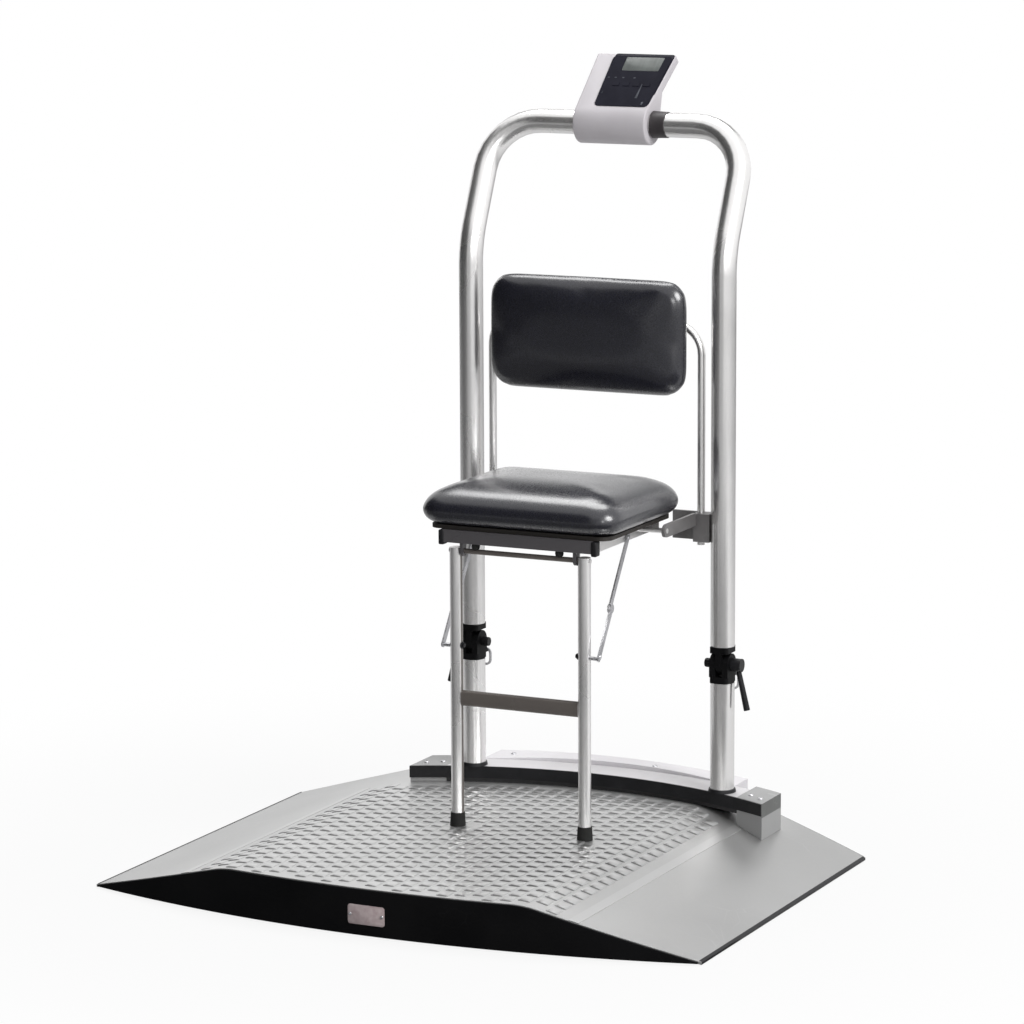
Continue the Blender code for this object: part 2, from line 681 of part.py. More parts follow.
def seat_bracket(side, sign):
    """A plate on the post, a lug that holds the backrest tube, and an arm to the seat hinge."""
    middle = UPPER_MIDDLE
    edge = sorted((middle + sign * BRACKET_INNER, middle + sign * (POST_HALF - RAIL_RADIUS + RUNNING)))
    lug_edge = sorted((middle + sign * (ARM_X + GAP), middle + sign * (POST_HALF - RAIL_RADIUS + RUNNING)))
    plate_y = POST_Y + BACK_TUBE_DIAMETER / 2 + RUNNING
    plate = prism(
        f"seat_bracket_{side}", box_outline(*edge, plate_y, plate_y + BRACKET_PLATE), "Z",
        BRACKET_BOTTOM, BRACKET_TOP, SILVER,
    )
    lug = prism(
        f"bracket_lug_{side}",
        box_outline(*lug_edge, POST_Y - LUG_DEPTH / 2, plate_y + BRACKET_PLATE / 2), "Z",
        BRACKET_BOTTOM, BRACKET_TOP, SILVER, True,
    )
    arm_edge = sorted((middle + sign * ARM_X, middle + sign * (ARM_X + ARM_PLATE)))
    arm = prism(
        f"bracket_arm_{side}", arm_outline(), "X", *arm_edge, SILVER, True,
    )
    x = middle + sign * TUBE_HALF
    socket = rod(
        f"bracket_socket_{side}", (x, POST_Y, BRACKET_BOTTOM - CUT_OVERRUN),
        (x, POST_Y, BRACKET_TOP + CUT_OVERRUN), BACK_TUBE_DIAMETER / 2 + GAP, SILVER, True,
    )
    post = rod(
        f"bracket_post_{side}", (middle + sign * POST_HALF, POST_Y, BRACKET_BOTTOM - CUT_OVERRUN),
        (middle + sign * POST_HALF, POST_Y, BRACKET_TOP + CUT_OVERRUN), RAIL_RADIUS + GAP, SILVER, True,
    )
    pivot = rod(
        f"bracket_pivot_{side}", (arm_edge[0] - CUT_OVERRUN, HINGE_Y, HINGE_Z),
        (arm_edge[1] + CUT_OVERRUN, HINGE_Y, HINGE_Z), SEAT_ROD_DIAMETER / 2 + GAP, SILVER, True,
    )
    for other, operation in (
        (lug, "UNION"), (arm, "UNION"), (socket, "DIFFERENCE"), (post, "DIFFERENCE"), (pivot, "DIFFERENCE"),
    ):
        combine(plate, other, operation)


def arm_outline():
    """The arm seen along X: a bar from the lug forward, round about the seat hinge."""
    half = ARM_HEIGHT / 2
    root = POST_Y - LUG_DEPTH / 2 + RUNNING
    points = [(root, HINGE_Z - half), (root, HINGE_Z + half)]
    for i in range(9):
        turn = math.pi / 2 + math.pi * i / 8
        points.append((HINGE_Y + half * math.cos(turn), HINGE_Z + half * math.sin(turn)))
    return points


def backrest():
    left, right = UPPER_MIDDLE - TUBE_HALF, UPPER_MIDDLE + TUBE_HALF
    foot = BRACKET_BOTTOM - BACK_TUBE_FOOT
    corners = [
        (left, POST_Y, foot), (left, POST_Y, BACK_CROSS_HEIGHT),
        (right, POST_Y, BACK_CROSS_HEIGHT), (right, POST_Y, foot),
    ]
    path = bent_path(corners, [BACK_BEND_RADIUS, BACK_BEND_RADIUS])
    tube("backrest_tube", path, BACK_TUBE_DIAMETER / 2, SILVER)
    centre = BACKREST_TOP - PAD_HEIGHT / 2
    board_front = PAD_BACK + GAP
    inset = PAD_CORNER / 2
    board = rounded(PAD_WIDTH / 2 - inset, PAD_HEIGHT / 2 - inset, inset, UPPER_MIDDLE, centre)
    prism("backrest_board", board, "Y", board_front, board_front + BOARD_PLATE, BOARD)
    pad = cushion("backrest_pad", PAD_WIDTH / 2, PAD_HEIGHT / 2, PAD_THICKNESS, PAD_CORNER, PAD_CROWN)
    pad.rotation_euler = (math.pi / 2, 0, 0)
    pad.location = (UPPER_MIDDLE, PAD_BACK, centre)


def cushion(name, half_a, half_b, thickness, corner, crown):
    """A padded block from z = 0: its sides draw in at both seams and its top is crowned."""
    seam = thickness / 6
    levels = [(thickness * height, seam * inset) for height, inset in CUSHION_SIDE_SHARES]
    levels += [(thickness + crown * height, seam * inset) for height, inset in CUSHION_CROWN_SHARES]
    rings = []
    for height, inset in levels:
        ring = rounded(half_a - inset, half_b - inset, max(corner - inset / 2, seam))
        rings.append([(a, b, height) for a, b in ring])
    return loft(name, rings, LEATHER)


def seat():
    """Frame of square tube, hinge rod, board and cushion."""
    middle = UPPER_MIDDLE
    half, wall = RAIL_SPREAD / 2, RAIL_BOX_WIDTH
    front = SEAT_FRONT + RAIL_BOX_WIDTH
    rear = SEAT_REAR - RAIL_BOX_WIDTH
    frame = prism(
        "seat_frame", box_outline(middle - half - wall / 2, middle + half + wall / 2, front, rear), "Z",
        RAIL_BOTTOM, RAIL_TOP, SILVER,
    )
    window = prism(
        "seat_frame_window",
        box_outline(middle - half + wall / 2, middle + half - wall / 2, front + wall, rear - wall), "Z",
        RAIL_BOTTOM - CUT_OVERRUN, RAIL_TOP + CUT_OVERRUN, SILVER, True,
    )
    reach = ARM_X + ARM_PLATE + RUNNING
    shaft = rod(
        "seat_hinge_shaft", (middle - reach, HINGE_Y, HINGE_Z), (middle + reach, HINGE_Y, HINGE_Z),
        SEAT_ROD_DIAMETER / 2, STEEL, True,
    )
    combine(frame, window, "DIFFERENCE")
    combine(frame, shaft, "UNION")
    for side, sign in SIDES:
        x = middle + sign * (LEG_SPREAD / 2)
        ear_half = LEG_DIAMETER / 2 + RUNNING
        ear_edge = sorted((x - sign * ear_half, x - sign * (ear_half + ARM_PLATE)))
        ear = prism(
            f"leg_ear_{side}", ear_outline(), "X", *ear_edge, SILVER, True,
        )
        bore = rod(
            f"leg_ear_bore_{side}", (ear_edge[0] - CUT_OVERRUN, LEG_Y, LEG_PIVOT_Z),
            (ear_edge[1] + CUT_OVERRUN, LEG_Y, LEG_PIVOT_Z), LEG_ROD_DIAMETER / 2 + GAP, SILVER, True,
        )
        combine(frame, ear, "UNION")
        combine(frame, bore, "DIFFERENCE")
    mid_y = (SEAT_FRONT + SEAT_REAR) / 2
    inset = CUSHION_CORNER / 2
    board = rounded(CUSHION_HALF - inset, SEAT_DEPTH / 2 - inset, CUSHION_CORNER - inset, middle, mid_y)
    prism("seat_board", board, "Z", BOARD_BOTTOM, BOARD_BOTTOM + BOARD_PLATE, BOARD)
    top = cushion("seat_cushion", CUSHION_HALF, SEAT_DEPTH / 2, CUSHION_DEPTH, CUSHION_CORNER, CUSHION_CROWN)
    top.location = (middle, mid_y, CUSHION_BOTTOM)


def ear_outline():
    """A leg ear seen along X: it hangs from the front rail and is round about the leg rod."""
    half = LEG_ROD_DIAMETER
    top = RAIL_BOTTOM + RUNNING
    points = [(LEG_Y + half, top), (LEG_Y - half, top)]
    for i in range(9):
        turn = math.pi + math.pi * i / 8
        points.append((LEG_Y + half * math.cos(turn), LEG_PIVOT_Z + half * math.sin(turn)))
    return points


def legs():
    """Two legs and their rung, hung from a rod, with rubber ferrules."""
    middle = UPPER_MIDDLE
    half = LEG_SPREAD / 2
    leg_top = LEG_PIVOT_Z + LEG_ROD_DIAMETER / 2 + 2 * RUNNING
    foot = DECK_TOP + GAP
    tube_foot = foot + FERRULE_HEIGHT / 3
    frame = rod(
        "leg_frame", (middle - half, LEG_Y, tube_foot), (middle - half, LEG_Y, leg_top),
        LEG_DIAMETER / 2, SILVER,
    )
    other = rod(
        "leg_right", (middle + half, LEG_Y, tube_foot), (middle + half, LEG_Y, leg_top),
        LEG_DIAMETER / 2, SILVER, True,
    )
    corner = RUNG_DEEP * RUNG_ROUND_SHARE
    section = rounded(RUNG_DEEP / 2, RUNG_TALL / 2, corner, LEG_Y, RUNG_HEIGHT, 4)
    rung = prism("leg_rung", section, "X", middle - half, middle + half, SILVER, True)
    reach = half + LEG_DIAMETER / 2 + RUNNING
    pivot = rod(
        "leg_pivot_rod", (middle - reach, LEG_Y, LEG_PIVOT_Z), (middle + reach, LEG_Y, LEG_PIVOT_Z),
        LEG_ROD_DIAMETER / 2, STEEL, True,
    )
    for piece in (other, rung, pivot):
        combine(frame, piece, "UNION")
    for side, sign in SIDES:
        x = middle + sign * half
        ferrule = rod(
            f"ferrule_{side}", (x, LEG_Y, foot), (x, LEG_Y, foot + FERRULE_HEIGHT),
            FERRULE_DIAMETER / 2, RUBBER, end_radius=LEG_DIAMETER / 2 + 2 * RUNNING,
        )
        socket = rod(
            f"ferrule_socket_{side}", (x, LEG_Y, tube_foot - GAP),
            (x, LEG_Y, foot + FERRULE_HEIGHT + CUT_OVERRUN), LEG_DIAMETER / 2 + GAP, RUBBER, True,
        )
        combine(ferrule, socket, "DIFFERENCE")
        stays(side, sign)


def link(name, start, end, x_low, x_high, hubs, look):
    """A flat bar in the YZ plane with round ends, and a disc at each place in hubs."""
    (y0, z0), (y1, z1) = start, end
    angle = math.atan2(z1 - z0, y1 - y0)
    half = STAY_WIDTH / 2
    points = []
    for y, z, base in ((y1, z1, angle - math.pi / 2), (y0, z0, angle + math.pi / 2)):
        for i in range(7):
            turn = base + math.pi * i / 6
            points.append((y + half * math.cos(turn), z + half * math.sin(turn)))
    bar = prism(name, points, "X", x_low, x_high, look)
    for number, (y, z, radius, low, high) in enumerate(hubs):
        disc = prism(f"{name}_hub_{number}", circle(radius, y, z, 16), "X", low, high, look, True)
        combine(bar, disc, "UNION")
    return bar


def stay_ends():
    """The stays' fixed pivots as (y, z): on the seat frame and on the leg."""
    top = (STAY_TOP_Y, RAIL_BOTTOM + RAIL_BOX_HEIGHT / 2 - STAY_TOP_DROP)
    return top, (LEG_Y, LEG_PIVOT_Z - STAY_FOOT_DROP)


def stays(side, sign):
    """A folding leg stay. Its middle pivot is open: each link keeps to its own plane there."""
    middle = UPPER_MIDDLE
    rail_face = RAIL_SPREAD / 2 + RAIL_BOX_WIDTH / 2
    leg_face = LEG_SPREAD / 2 + LEG_DIAMETER / 2
    top, bottom = stay_ends()
    joint = tuple(a + (b - a) * STAY_SPLIT for a, b in zip(top, bottom))
    first = rail_face + RUNNING
    second = first + STAY_PLATE + GAP
    planes = []
    for low in (first, second):
        planes.append(sorted((middle + sign * low, middle + sign * (low + STAY_PLATE))))
    pin_in = sorted((middle + sign * (leg_face + RUNNING), middle + sign * (second + STAY_PLATE)))
    hub = STAY_HUB_DIAMETER / 2
    link(
        f"stay_upper_{side}", top, joint, *planes[0],
        [(*joint, hub, *planes[0]), (*top, hub * STAY_END_SHARE, *planes[0])], STEEL,
    )
    link(
        f"stay_lower_{side}", joint, bottom, *planes[1],
        [(*joint, hub, *planes[1]), (*bottom, STAY_PIN_DIAMETER / 2, *pin_in)], STEEL,
    )


def head_point(u, n):
    """A place on the display head as (y, z): u runs up its face and n stands off the bar's axis."""
    sine, cosine = math.sin(HEAD_TILT), math.cos(HEAD_TILT)
    return (BAR_Y + u * sine - n * cosine, HANDRAIL_HEIGHT + u * cosine + n * sine)


def flare(u):
    """How far the head's right side stands out at u: the head widens towards its top."""
    share = min(max(u / HEAD_LENGTH, 0), 1)
    return HEAD_FLARE_LOW + (HEAD_FLARE_HIGH - HEAD_FLARE_LOW) * share


def head_slab(
    name, u_low, u_high, n_low, n_high, x_low, x_high, look, helper=False, corner=None, flared=False,
):
    """A block set square to the head's face, with rounded corners, and flared like the head when asked."""
    centre_x, half_x = (x_low + x_high) / 2, (x_high - x_low) / 2
    centre_u, half_u = (u_low + u_high) / 2, (u_high - u_low) / 2
    outline = rounded(half_x, half_u, corner or GAP, centre_x, centre_u, 4)
    flared_from = centre_x if flared else x_high + GAP
    rings = []
    for n in (n_low, n_high):
        rings.append([(x + flare(u) if x > flared_from else x, *head_point(u, n)) for x, u in outline])
    return loft(name, rings, look, helper)


def head_profile():
    """The head's section as (u, n): its face runs tangent into the clamp round the bar."""
    points = [(HEAD_LENGTH, HEAD_RADIUS), (0, HEAD_RADIUS)]
    for i in range(1, 24):
        turn = HEAD_WRAP * i / 23
        points.append((-HEAD_RADIUS * math.sin(turn), HEAD_RADIUS * math.cos(turn)))
    points.append((HEAD_NECK, HEAD_BACK))
    points.append((HEAD_LENGTH, HEAD_BACK))
    return points


def key_places():
    """The keys' places along X, in a row across the middle of the panel."""
    middle = UPPER_MIDDLE + HEAD_RIGHT - PANEL_MARGIN - PANEL_WIDTH / 2
    return [middle + KEY_PITCH * (number - (KEY_COUNT - 1) / 2) for number in range(KEY_COUNT)]


def display_head():
    left, right = UPPER_MIDDLE - HEAD_LEFT, UPPER_MIDDLE + HEAD_RIGHT
    section = head_profile()
    left_ring = [(left, *head_point(u, n)) for u, n in section]
    right_ring = [(right + flare(u), *head_point(u, n)) for u, n in section]
    shell = loft("head_housing", [left_ring, right_ring], PALE)
    edge = shell.modifiers.new("rounded_ends", "BEVEL")
    edge.width = HEAD_EDGE
    edge.segments = 4
    edge.limit_method = "ANGLE"
    edge.angle_limit = HEAD_TILT
    bore = rod(
        "head_bore", (left - CUT_OVERRUN, BAR_Y, HANDRAIL_HEIGHT),
        (right + CUT_OVERRUN, BAR_Y, HANDRAIL_HEIGHT), RAIL_RADIUS + GAP, PALE, True, steps=32,
    )
    panel_right = right - PANEL_MARGIN
    panel_left = panel_right - PANEL_WIDTH
    panel_end = PANEL_START + PANEL_LENGTH
    floor = HEAD_RADIUS - PANEL_POCKET
    pocket = head_slab(
        "head_pocket", PANEL_START - GAP, panel_end + GAP, floor, HEAD_RADIUS + CUT_OVERRUN,
        panel_left - GAP, panel_right + GAP, PALE, True, PANEL_CORNER + GAP, True,
    )
    combine(shell, bore, "DIFFERENCE")
    combine(shell, pocket, "DIFFERENCE")
    low, high = floor + GAP, floor + GAP + PANEL_PLATE
    panel = head_slab(
        "head_panel", PANEL_START, panel_end, low, high, panel_left, panel_right, BLACK,
        corner=PANEL_CORNER, flared=True,
    )
    window_right = panel_right - PANEL_WIDTH * WINDOW_SIDE_SHARE
    window_top = panel_end - WINDOW_INSET
    window_low, window_left = window_top - WINDOW_HEIGHT, window_right - WINDOW_WIDTH
    window_floor = high - WINDOW_POCKET
    recess = head_slab(
        "window_recess", window_low - GAP, window_top + GAP, window_floor, high + CUT_OVERRUN,
        window_left - GAP, window_right + GAP, BLACK, True, KEY_PROUD,
    )
    combine(panel, recess, "DIFFERENCE")
    head_slab(
        "display_window", window_low, window_top, window_floor + GAP, high, window_left, window_right, GLASS,
        corner=KEY_PROUD,
    )
    for number, x in enumerate(key_places()):
        u = KEY_ROW
        seat_floor = high - KEY_PROUD / 2 - KEY_TRAVEL
        well = head_slab(
            f"key_well_{number + 1}", u - KEY_HEIGHT / 2 - GAP, u + KEY_HEIGHT / 2 + GAP, seat_floor - GAP,
            high + CUT_OVERRUN, x - KEY_WIDTH / 2 - GAP, x + KEY_WIDTH / 2 + GAP, BLACK, True, KEY_PROUD,
        )
        combine(panel, well, "DIFFERENCE")
        head_slab(
            f"key_{number + 1}", u - KEY_HEIGHT / 2, u + KEY_HEIGHT / 2, seat_floor + KEY_TRAVEL,
            high + KEY_PROUD / 2, x - KEY_WIDTH / 2, x + KEY_WIDTH / 2, BLACK, corner=KEY_PROUD,
        )
    collar_left = right + flare(COLLAR_RADIUS) + GAP
    collar = rod(
        "clutch_collar", (collar_left, BAR_Y, HANDRAIL_HEIGHT),
        (collar_left + COLLAR_WIDTH, BAR_Y, HANDRAIL_HEIGHT), COLLAR_RADIUS, BLACK,
        end_radius=RAIL_RADIUS + 2 * RUNNING, steps=32,
    )
    collar_bore = rod(
        "collar_bore", (collar_left - CUT_OVERRUN, BAR_Y, HANDRAIL_HEIGHT),
        (collar_left + COLLAR_WIDTH + CUT_OVERRUN, BAR_Y, HANDRAIL_HEIGHT), RAIL_RADIUS + GAP, BLACK, True,
        steps=32,
    )
    combine(collar, collar_bore, "DIFFERENCE")


PLACES = {FRAME.name: Vector((0, 0, 0))}

def hang(name, place, carrier, pieces):
    """Puts an empty on a joint's axis and hangs one moving body's pieces from it, where they are."""
    holder = bpy.data.objects.new(name, None)
    holder.parent = bpy.data.objects[carrier]
    holder.location = Vector(place) - PLACES[carrier]
    bpy.context.collection.objects.link(holder)
    PLACES[name] = Vector(place)
    for piece in pieces:
        obj = bpy.data.objects[piece]
        obj.parent = holder
        obj.location -= Vector(place)


def hang_folding_bodies():
    middle = UPPER_MIDDLE
    stay_top, stay_foot = stay_ends()
    both = [side for side, sign in SIDES]
    hang("handrail_axis", (middle, POST_Y, HINGE_HEIGHT), FRAME.name, [
        "handrail", "backrest_tube", "backrest_board", "backrest_pad", "clutch_collar",
        *(f"{piece}_{side}" for piece in ("hinge_tongue", "seat_bracket") for side in both),
    ])
    seat_pieces = ["seat_frame", "seat_board", "seat_cushion"]
    hang("seat_axis", (middle, HINGE_Y, HINGE_Z), "handrail_axis", seat_pieces)
    leg_pieces = ["leg_frame", "ferrule_left", "ferrule_right"]
    hang("leg_axis", (middle, LEG_Y, LEG_PIVOT_Z), "seat_axis", leg_pieces)
    hang("stay_upper_axis", (middle, *stay_top), "seat_axis", [f"stay_upper_{side}" for side in both])
    hang("stay_lower_axis", (middle, *stay_foot), "leg_axis", [f"stay_lower_{side}" for side in both])
    head_middle = middle + (HEAD_RIGHT - HEAD_LEFT) / 2
    hang("head_axis", (head_middle, BAR_Y, HANDRAIL_HEIGHT), "handrail_axis", [
        "head_housing", "head_panel", "display_window",
    ])


def hang_small_bodies():
    for number, x in enumerate(key_places(), 1):
        hang(f"key_axis_{number}", (x, *head_point(KEY_ROW, HEAD_RADIUS)), "head_axis", [f"key_{number}"])
    for side, sign in SIDES:
        x = UPPER_MIDDLE + sign * POST_HALF
        face = x + sign * BLOCK_WIDTH / 2
        hang(f"lever_axis_{side}", (face, POST_Y, HINGE_HEIGHT), FRAME.name, [f"clamp_lever_{side}"])
        face = x - sign * BLOCK_WIDTH / 2
        hang(f"knob_axis_{side}", (face, POST_Y, HINGE_HEIGHT), FRAME.name, [f"release_knob_{side}"])
        hang(f"ring_axis_{side}", (x, RING_Y, PIN_Z), FRAME.name, [f"pull_ring_{side}"])
        for end, y in (("front", FRAME_INSET), ("rear", PLATFORM_DEPTH - FRAME_INSET)):
            inward = 1 if end == "front" else -1
            y_foot = y + inward * (FOOT_DIAMETER - FRAME_RAIL) / 2
            place = (sign * FRAME_SPREAD / 2, y_foot, 0)
            hang(f"foot_axis_{end}_{side}", place, FRAME.name, [f"foot_{end}_{side}"])


platform()
under_frame()
rear_beam()
for side_name, side_sign in SIDES:
    post_stub(side_name, side_sign)
    hinge(side_name, side_sign)
    seat_bracket(side_name, side_sign)
handrail()
backrest()
seat()
legs()
display_head()
hang_folding_bodies()
hang_small_bodies()
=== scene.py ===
# %% [markdown]
# # A wheelchair scale, dressed over its fixed frame
# The scale is a low ramped platform with a handrail, a small folding seat and a display head. Its solids
# are already made and packed, so this lesson never moves them. It gives them finishes, lays tread on the
# deck, swells the two cushions with cloth simulation, and adds the small hardware that solids leave out.

# %% Load the frame
import math

import bmesh
import bpy
from mathutils import Matrix, Vector
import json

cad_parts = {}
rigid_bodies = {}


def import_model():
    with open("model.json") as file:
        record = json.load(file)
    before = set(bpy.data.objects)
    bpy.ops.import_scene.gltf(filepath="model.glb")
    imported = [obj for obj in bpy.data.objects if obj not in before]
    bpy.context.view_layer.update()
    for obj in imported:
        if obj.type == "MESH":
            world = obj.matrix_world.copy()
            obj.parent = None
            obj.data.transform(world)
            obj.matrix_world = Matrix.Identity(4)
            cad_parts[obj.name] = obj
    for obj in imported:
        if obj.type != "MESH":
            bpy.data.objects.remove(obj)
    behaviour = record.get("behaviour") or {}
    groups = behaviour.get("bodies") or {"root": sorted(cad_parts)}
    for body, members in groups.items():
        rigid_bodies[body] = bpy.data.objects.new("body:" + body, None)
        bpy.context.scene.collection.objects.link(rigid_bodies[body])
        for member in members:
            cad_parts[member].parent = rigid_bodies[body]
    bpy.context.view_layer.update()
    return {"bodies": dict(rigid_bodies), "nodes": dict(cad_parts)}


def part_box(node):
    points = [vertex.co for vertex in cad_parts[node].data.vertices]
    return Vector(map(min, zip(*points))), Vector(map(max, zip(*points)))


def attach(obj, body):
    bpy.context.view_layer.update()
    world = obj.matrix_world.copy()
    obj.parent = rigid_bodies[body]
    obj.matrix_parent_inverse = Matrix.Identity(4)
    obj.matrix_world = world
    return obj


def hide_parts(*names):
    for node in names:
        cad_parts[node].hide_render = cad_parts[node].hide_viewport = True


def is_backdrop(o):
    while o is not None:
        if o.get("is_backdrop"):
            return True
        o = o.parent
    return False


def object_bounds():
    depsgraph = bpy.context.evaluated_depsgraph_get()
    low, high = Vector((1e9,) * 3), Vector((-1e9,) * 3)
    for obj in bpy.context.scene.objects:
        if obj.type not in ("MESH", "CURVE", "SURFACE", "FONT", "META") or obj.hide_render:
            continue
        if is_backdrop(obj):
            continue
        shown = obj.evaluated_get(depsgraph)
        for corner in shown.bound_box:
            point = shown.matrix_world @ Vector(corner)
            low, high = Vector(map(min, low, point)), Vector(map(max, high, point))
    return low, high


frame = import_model()
NODES = frame["nodes"]


def middle_of(node):
    """The x, y and z of the middle of a solid's box."""
    return tuple((low + high) / 2 for low, high in zip(*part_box(node)))


X0 = middle_of("seat_cushion")[0]
foot_left, foot_right = middle_of("ferrule_left")[0], middle_of("ferrule_right")[0]
LEG_MIDDLE, LEG_HALF = (foot_left + foot_right) / 2, (foot_right - foot_left) / 2
print("the seat's middle is at x =", round(X0, 4), "and the legs stand", round(2 * LEG_HALF, 4), "apart")

# %% [markdown]
# ## The camera
# The photograph was taken from a little above the seat, in front and to the right, through a long lens. Its
# place was worked out from the picture: the posts give the upright, the platform's edges give the turn. A
# camera looks down its own -Z, so its three axes are written straight into a matrix, which avoids any guess
# about angle order.

# %% Camera
TURN, DIP, ROLL = 0.4544, 0.1749, -0.0049
EYE = Vector((2.7577, -5.56429, 1.6582))
LENS_MM, FILM_MM = 146.24, 36.0
forward = Vector((-math.sin(TURN) * math.cos(DIP), math.cos(TURN) * math.cos(DIP), -math.sin(DIP)))
level = Vector((math.cos(TURN), math.sin(TURN), 0))
above = level.cross(forward)
right = math.cos(ROLL) * level + math.sin(ROLL) * above
up = math.cos(ROLL) * above - math.sin(ROLL) * level
lens = bpy.data.cameras.new("photo_camera")
lens.lens, lens.sensor_width = LENS_MM, FILM_MM
camera = bpy.data.objects.new("photo_camera", lens)
camera.matrix_world = Matrix.Translation(EYE) @ Matrix((right, up, -forward)).transposed().to_4x4()
bpy.context.collection.objects.link(camera)
bpy.context.scene.camera = camera
bpy.context.scene.view_settings.view_transform = "Standard"
print("camera", [round(v, 3) for v in EYE], "lens", LENS_MM)

# %% [markdown]
# ## A few words for node trees
# The world, the floor, the finishes and the Geometry Nodes trees are all made of nodes and wires. A handful
# of short functions says the same things with far fewer lines: place a node, wire two sockets, do a sum,
# map a range.

# %% Node helpers
def wire(tree, start, end):
    tree.links.new(start, end)


def place(tree, kind, **settings):
    node = tree.nodes.new(kind)
    for key, value in settings.items():
        setattr(node, key, value)
    return node


def maths(tree, operation, a, b, clamp=False):
    """One Math node: numbers are set on it and sockets are wired to it."""
    node = place(tree, "ShaderNodeMath", operation=operation, use_clamp=clamp)
    for socket, value in zip(node.inputs, (a, b)):
        if isinstance(value, (int, float)):
            socket.default_value = value
        else:
            wire(tree, value, socket)
    return node.outputs[0]


def span(tree, value, low, high, out_low=0.0, out_high=1.0, **settings):
    """Map Range, held between its ends."""
    node = place(tree, "ShaderNodeMapRange", **settings)
    for label, number in (("From Min", low), ("From Max", high), ("To Min", out_low), ("To Max", out_high)):
        node.inputs[label].default_value = number
    wire(tree, value, node.inputs["Value"])
    return node.outputs["Result"]


def coordinates(tree):
    """Object coordinates, which stay with a piece when it moves."""
    return place(tree, "ShaderNodeTexCoord").outputs["Object"]


def axes_of(tree, vector):
    """The X, Y and Z of a vector."""
    node = place(tree, "ShaderNodeSeparateXYZ")
    wire(tree, vector, node.inputs[0])
    return node.outputs


def spot_of(tree):
    """The X, Y and Z of a place in Object coordinates."""
    return axes_of(tree, coordinates(tree))


def facing_of(tree):
    """The X, Y and Z of the way that a surface faces."""
    return axes_of(tree, place(tree, "ShaderNodeNewGeometry").outputs["Normal"])


print("node helpers ready")

# %% [markdown]
# ## The studio
# A product photograph on white has two kinds of white: the one the camera sees, and the one that lights the
# object. Light Path tells them apart. Camera, glossy and transmission rays meet a world of strength 1, so
# metal still mirrors a white room, while the light that falls on the object stays soft and plain.

# %% World
FILL_COLOUR, FILL = (0.97, 0.98, 1.0, 1), 0.24
world = bpy.data.worlds.new("white_studio")
world.use_nodes = True
bpy.context.scene.world = world
sky = world.node_tree
sky.nodes.clear()
path = place(sky, "ShaderNodeLightPath")
mirrored = maths(sky, "ADD", path.outputs["Is Glossy Ray"], path.outputs["Is Transmission Ray"])
seen = maths(sky, "ADD", path.outputs["Is Camera Ray"], mirrored, clamp=True)
fill, backdrop = place(sky, "ShaderNodeBackground"), place(sky, "ShaderNodeBackground")
fill.inputs["Color"].default_value, fill.inputs["Strength"].default_value = FILL_COLOUR, FILL
backdrop.inputs["Color"].default_value, backdrop.inputs["Strength"].default_value = (1, 1, 1, 1), 1.0
room, world_out = place(sky, "ShaderNodeMixShader"), place(sky, "ShaderNodeOutputWorld")
wire(sky, seen, room.inputs[0])
wire(sky, fill.outputs[0], room.inputs[1])
wire(sky, backdrop.outputs[0], room.inputs[2])
wire(sky, room.outputs[0], world_out.inputs["Surface"])
print("world", world.name)

# %% [markdown]
# ## Floor and lamps
# The floor is a wide disc. Most of what the camera sees of it is its own glow, so it melts into the white,
# and a small diffuse share is left to hold the object's soft shadow. The share of glow grows with the
# distance from the object. The big lamp stands to the right and high, so every tube is brighter on its
# right side.

# %% Mesh helpers
def mesh_object(name, points, faces, smooth=False):
    """A mesh object at the origin, with its place in its points."""
    mesh = bpy.data.meshes.new(name)
    mesh.from_pydata([tuple(p) for p in points], [], faces)
    mesh.validate()
    mesh.polygons.foreach_set("use_smooth", [smooth] * len(mesh.polygons))
    obj = bpy.data.objects.new(name, mesh)
    bpy.context.collection.objects.link(obj)
    return obj


def ring_points(radius, count, z=0.0):
    turns = [2 * math.pi * i / count for i in range(count)]
    return [(radius * math.cos(turn), radius * math.sin(turn), z) for turn in turns]


print("mesh helpers ready")

# %% Floor
FLOOR_RADIUS, FLOOR_SIDES, FLOOR_GREY = 9.0, 64, 0.6
MELT_FROM, MELT_TO, GLOW_NEAR = 0.45, 1.5, 0.88
floor = mesh_object("studio_floor", ring_points(FLOOR_RADIUS, FLOOR_SIDES), [list(range(FLOOR_SIDES))])
paper = bpy.data.materials.new("floor_paper")
paper.use_nodes = True
sheet_tree = paper.node_tree
sheet_tree.nodes.clear()
matt, glow = place(sheet_tree, "ShaderNodeBsdfDiffuse"), place(sheet_tree, "ShaderNodeEmission")
matt.inputs["Color"].default_value = (FLOOR_GREY, FLOOR_GREY, FLOOR_GREY, 1)
glow.inputs["Strength"].default_value = 1.0
away = place(sheet_tree, "ShaderNodeVectorMath", operation="LENGTH")
wire(sheet_tree, coordinates(sheet_tree), away.inputs[0])
melt = span(
    sheet_tree, away.outputs["Value"], MELT_FROM, MELT_TO, GLOW_NEAR, 1.0, interpolation_type="SMOOTHSTEP",
)
seen = place(sheet_tree, "ShaderNodeLightPath").outputs["Is Camera Ray"]
blend, floor_out = place(sheet_tree, "ShaderNodeMixShader"), place(sheet_tree, "ShaderNodeOutputMaterial")
wire(sheet_tree, maths(sheet_tree, "MULTIPLY", seen, melt), blend.inputs[0])
wire(sheet_tree, matt.outputs[0], blend.inputs[1])
wire(sheet_tree, glow.outputs[0], blend.inputs[2])
wire(sheet_tree, blend.outputs[0], floor_out.inputs["Surface"])
floor.data.materials.append(paper)
floor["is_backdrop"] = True
print("floor radius", FLOOR_RADIUS)

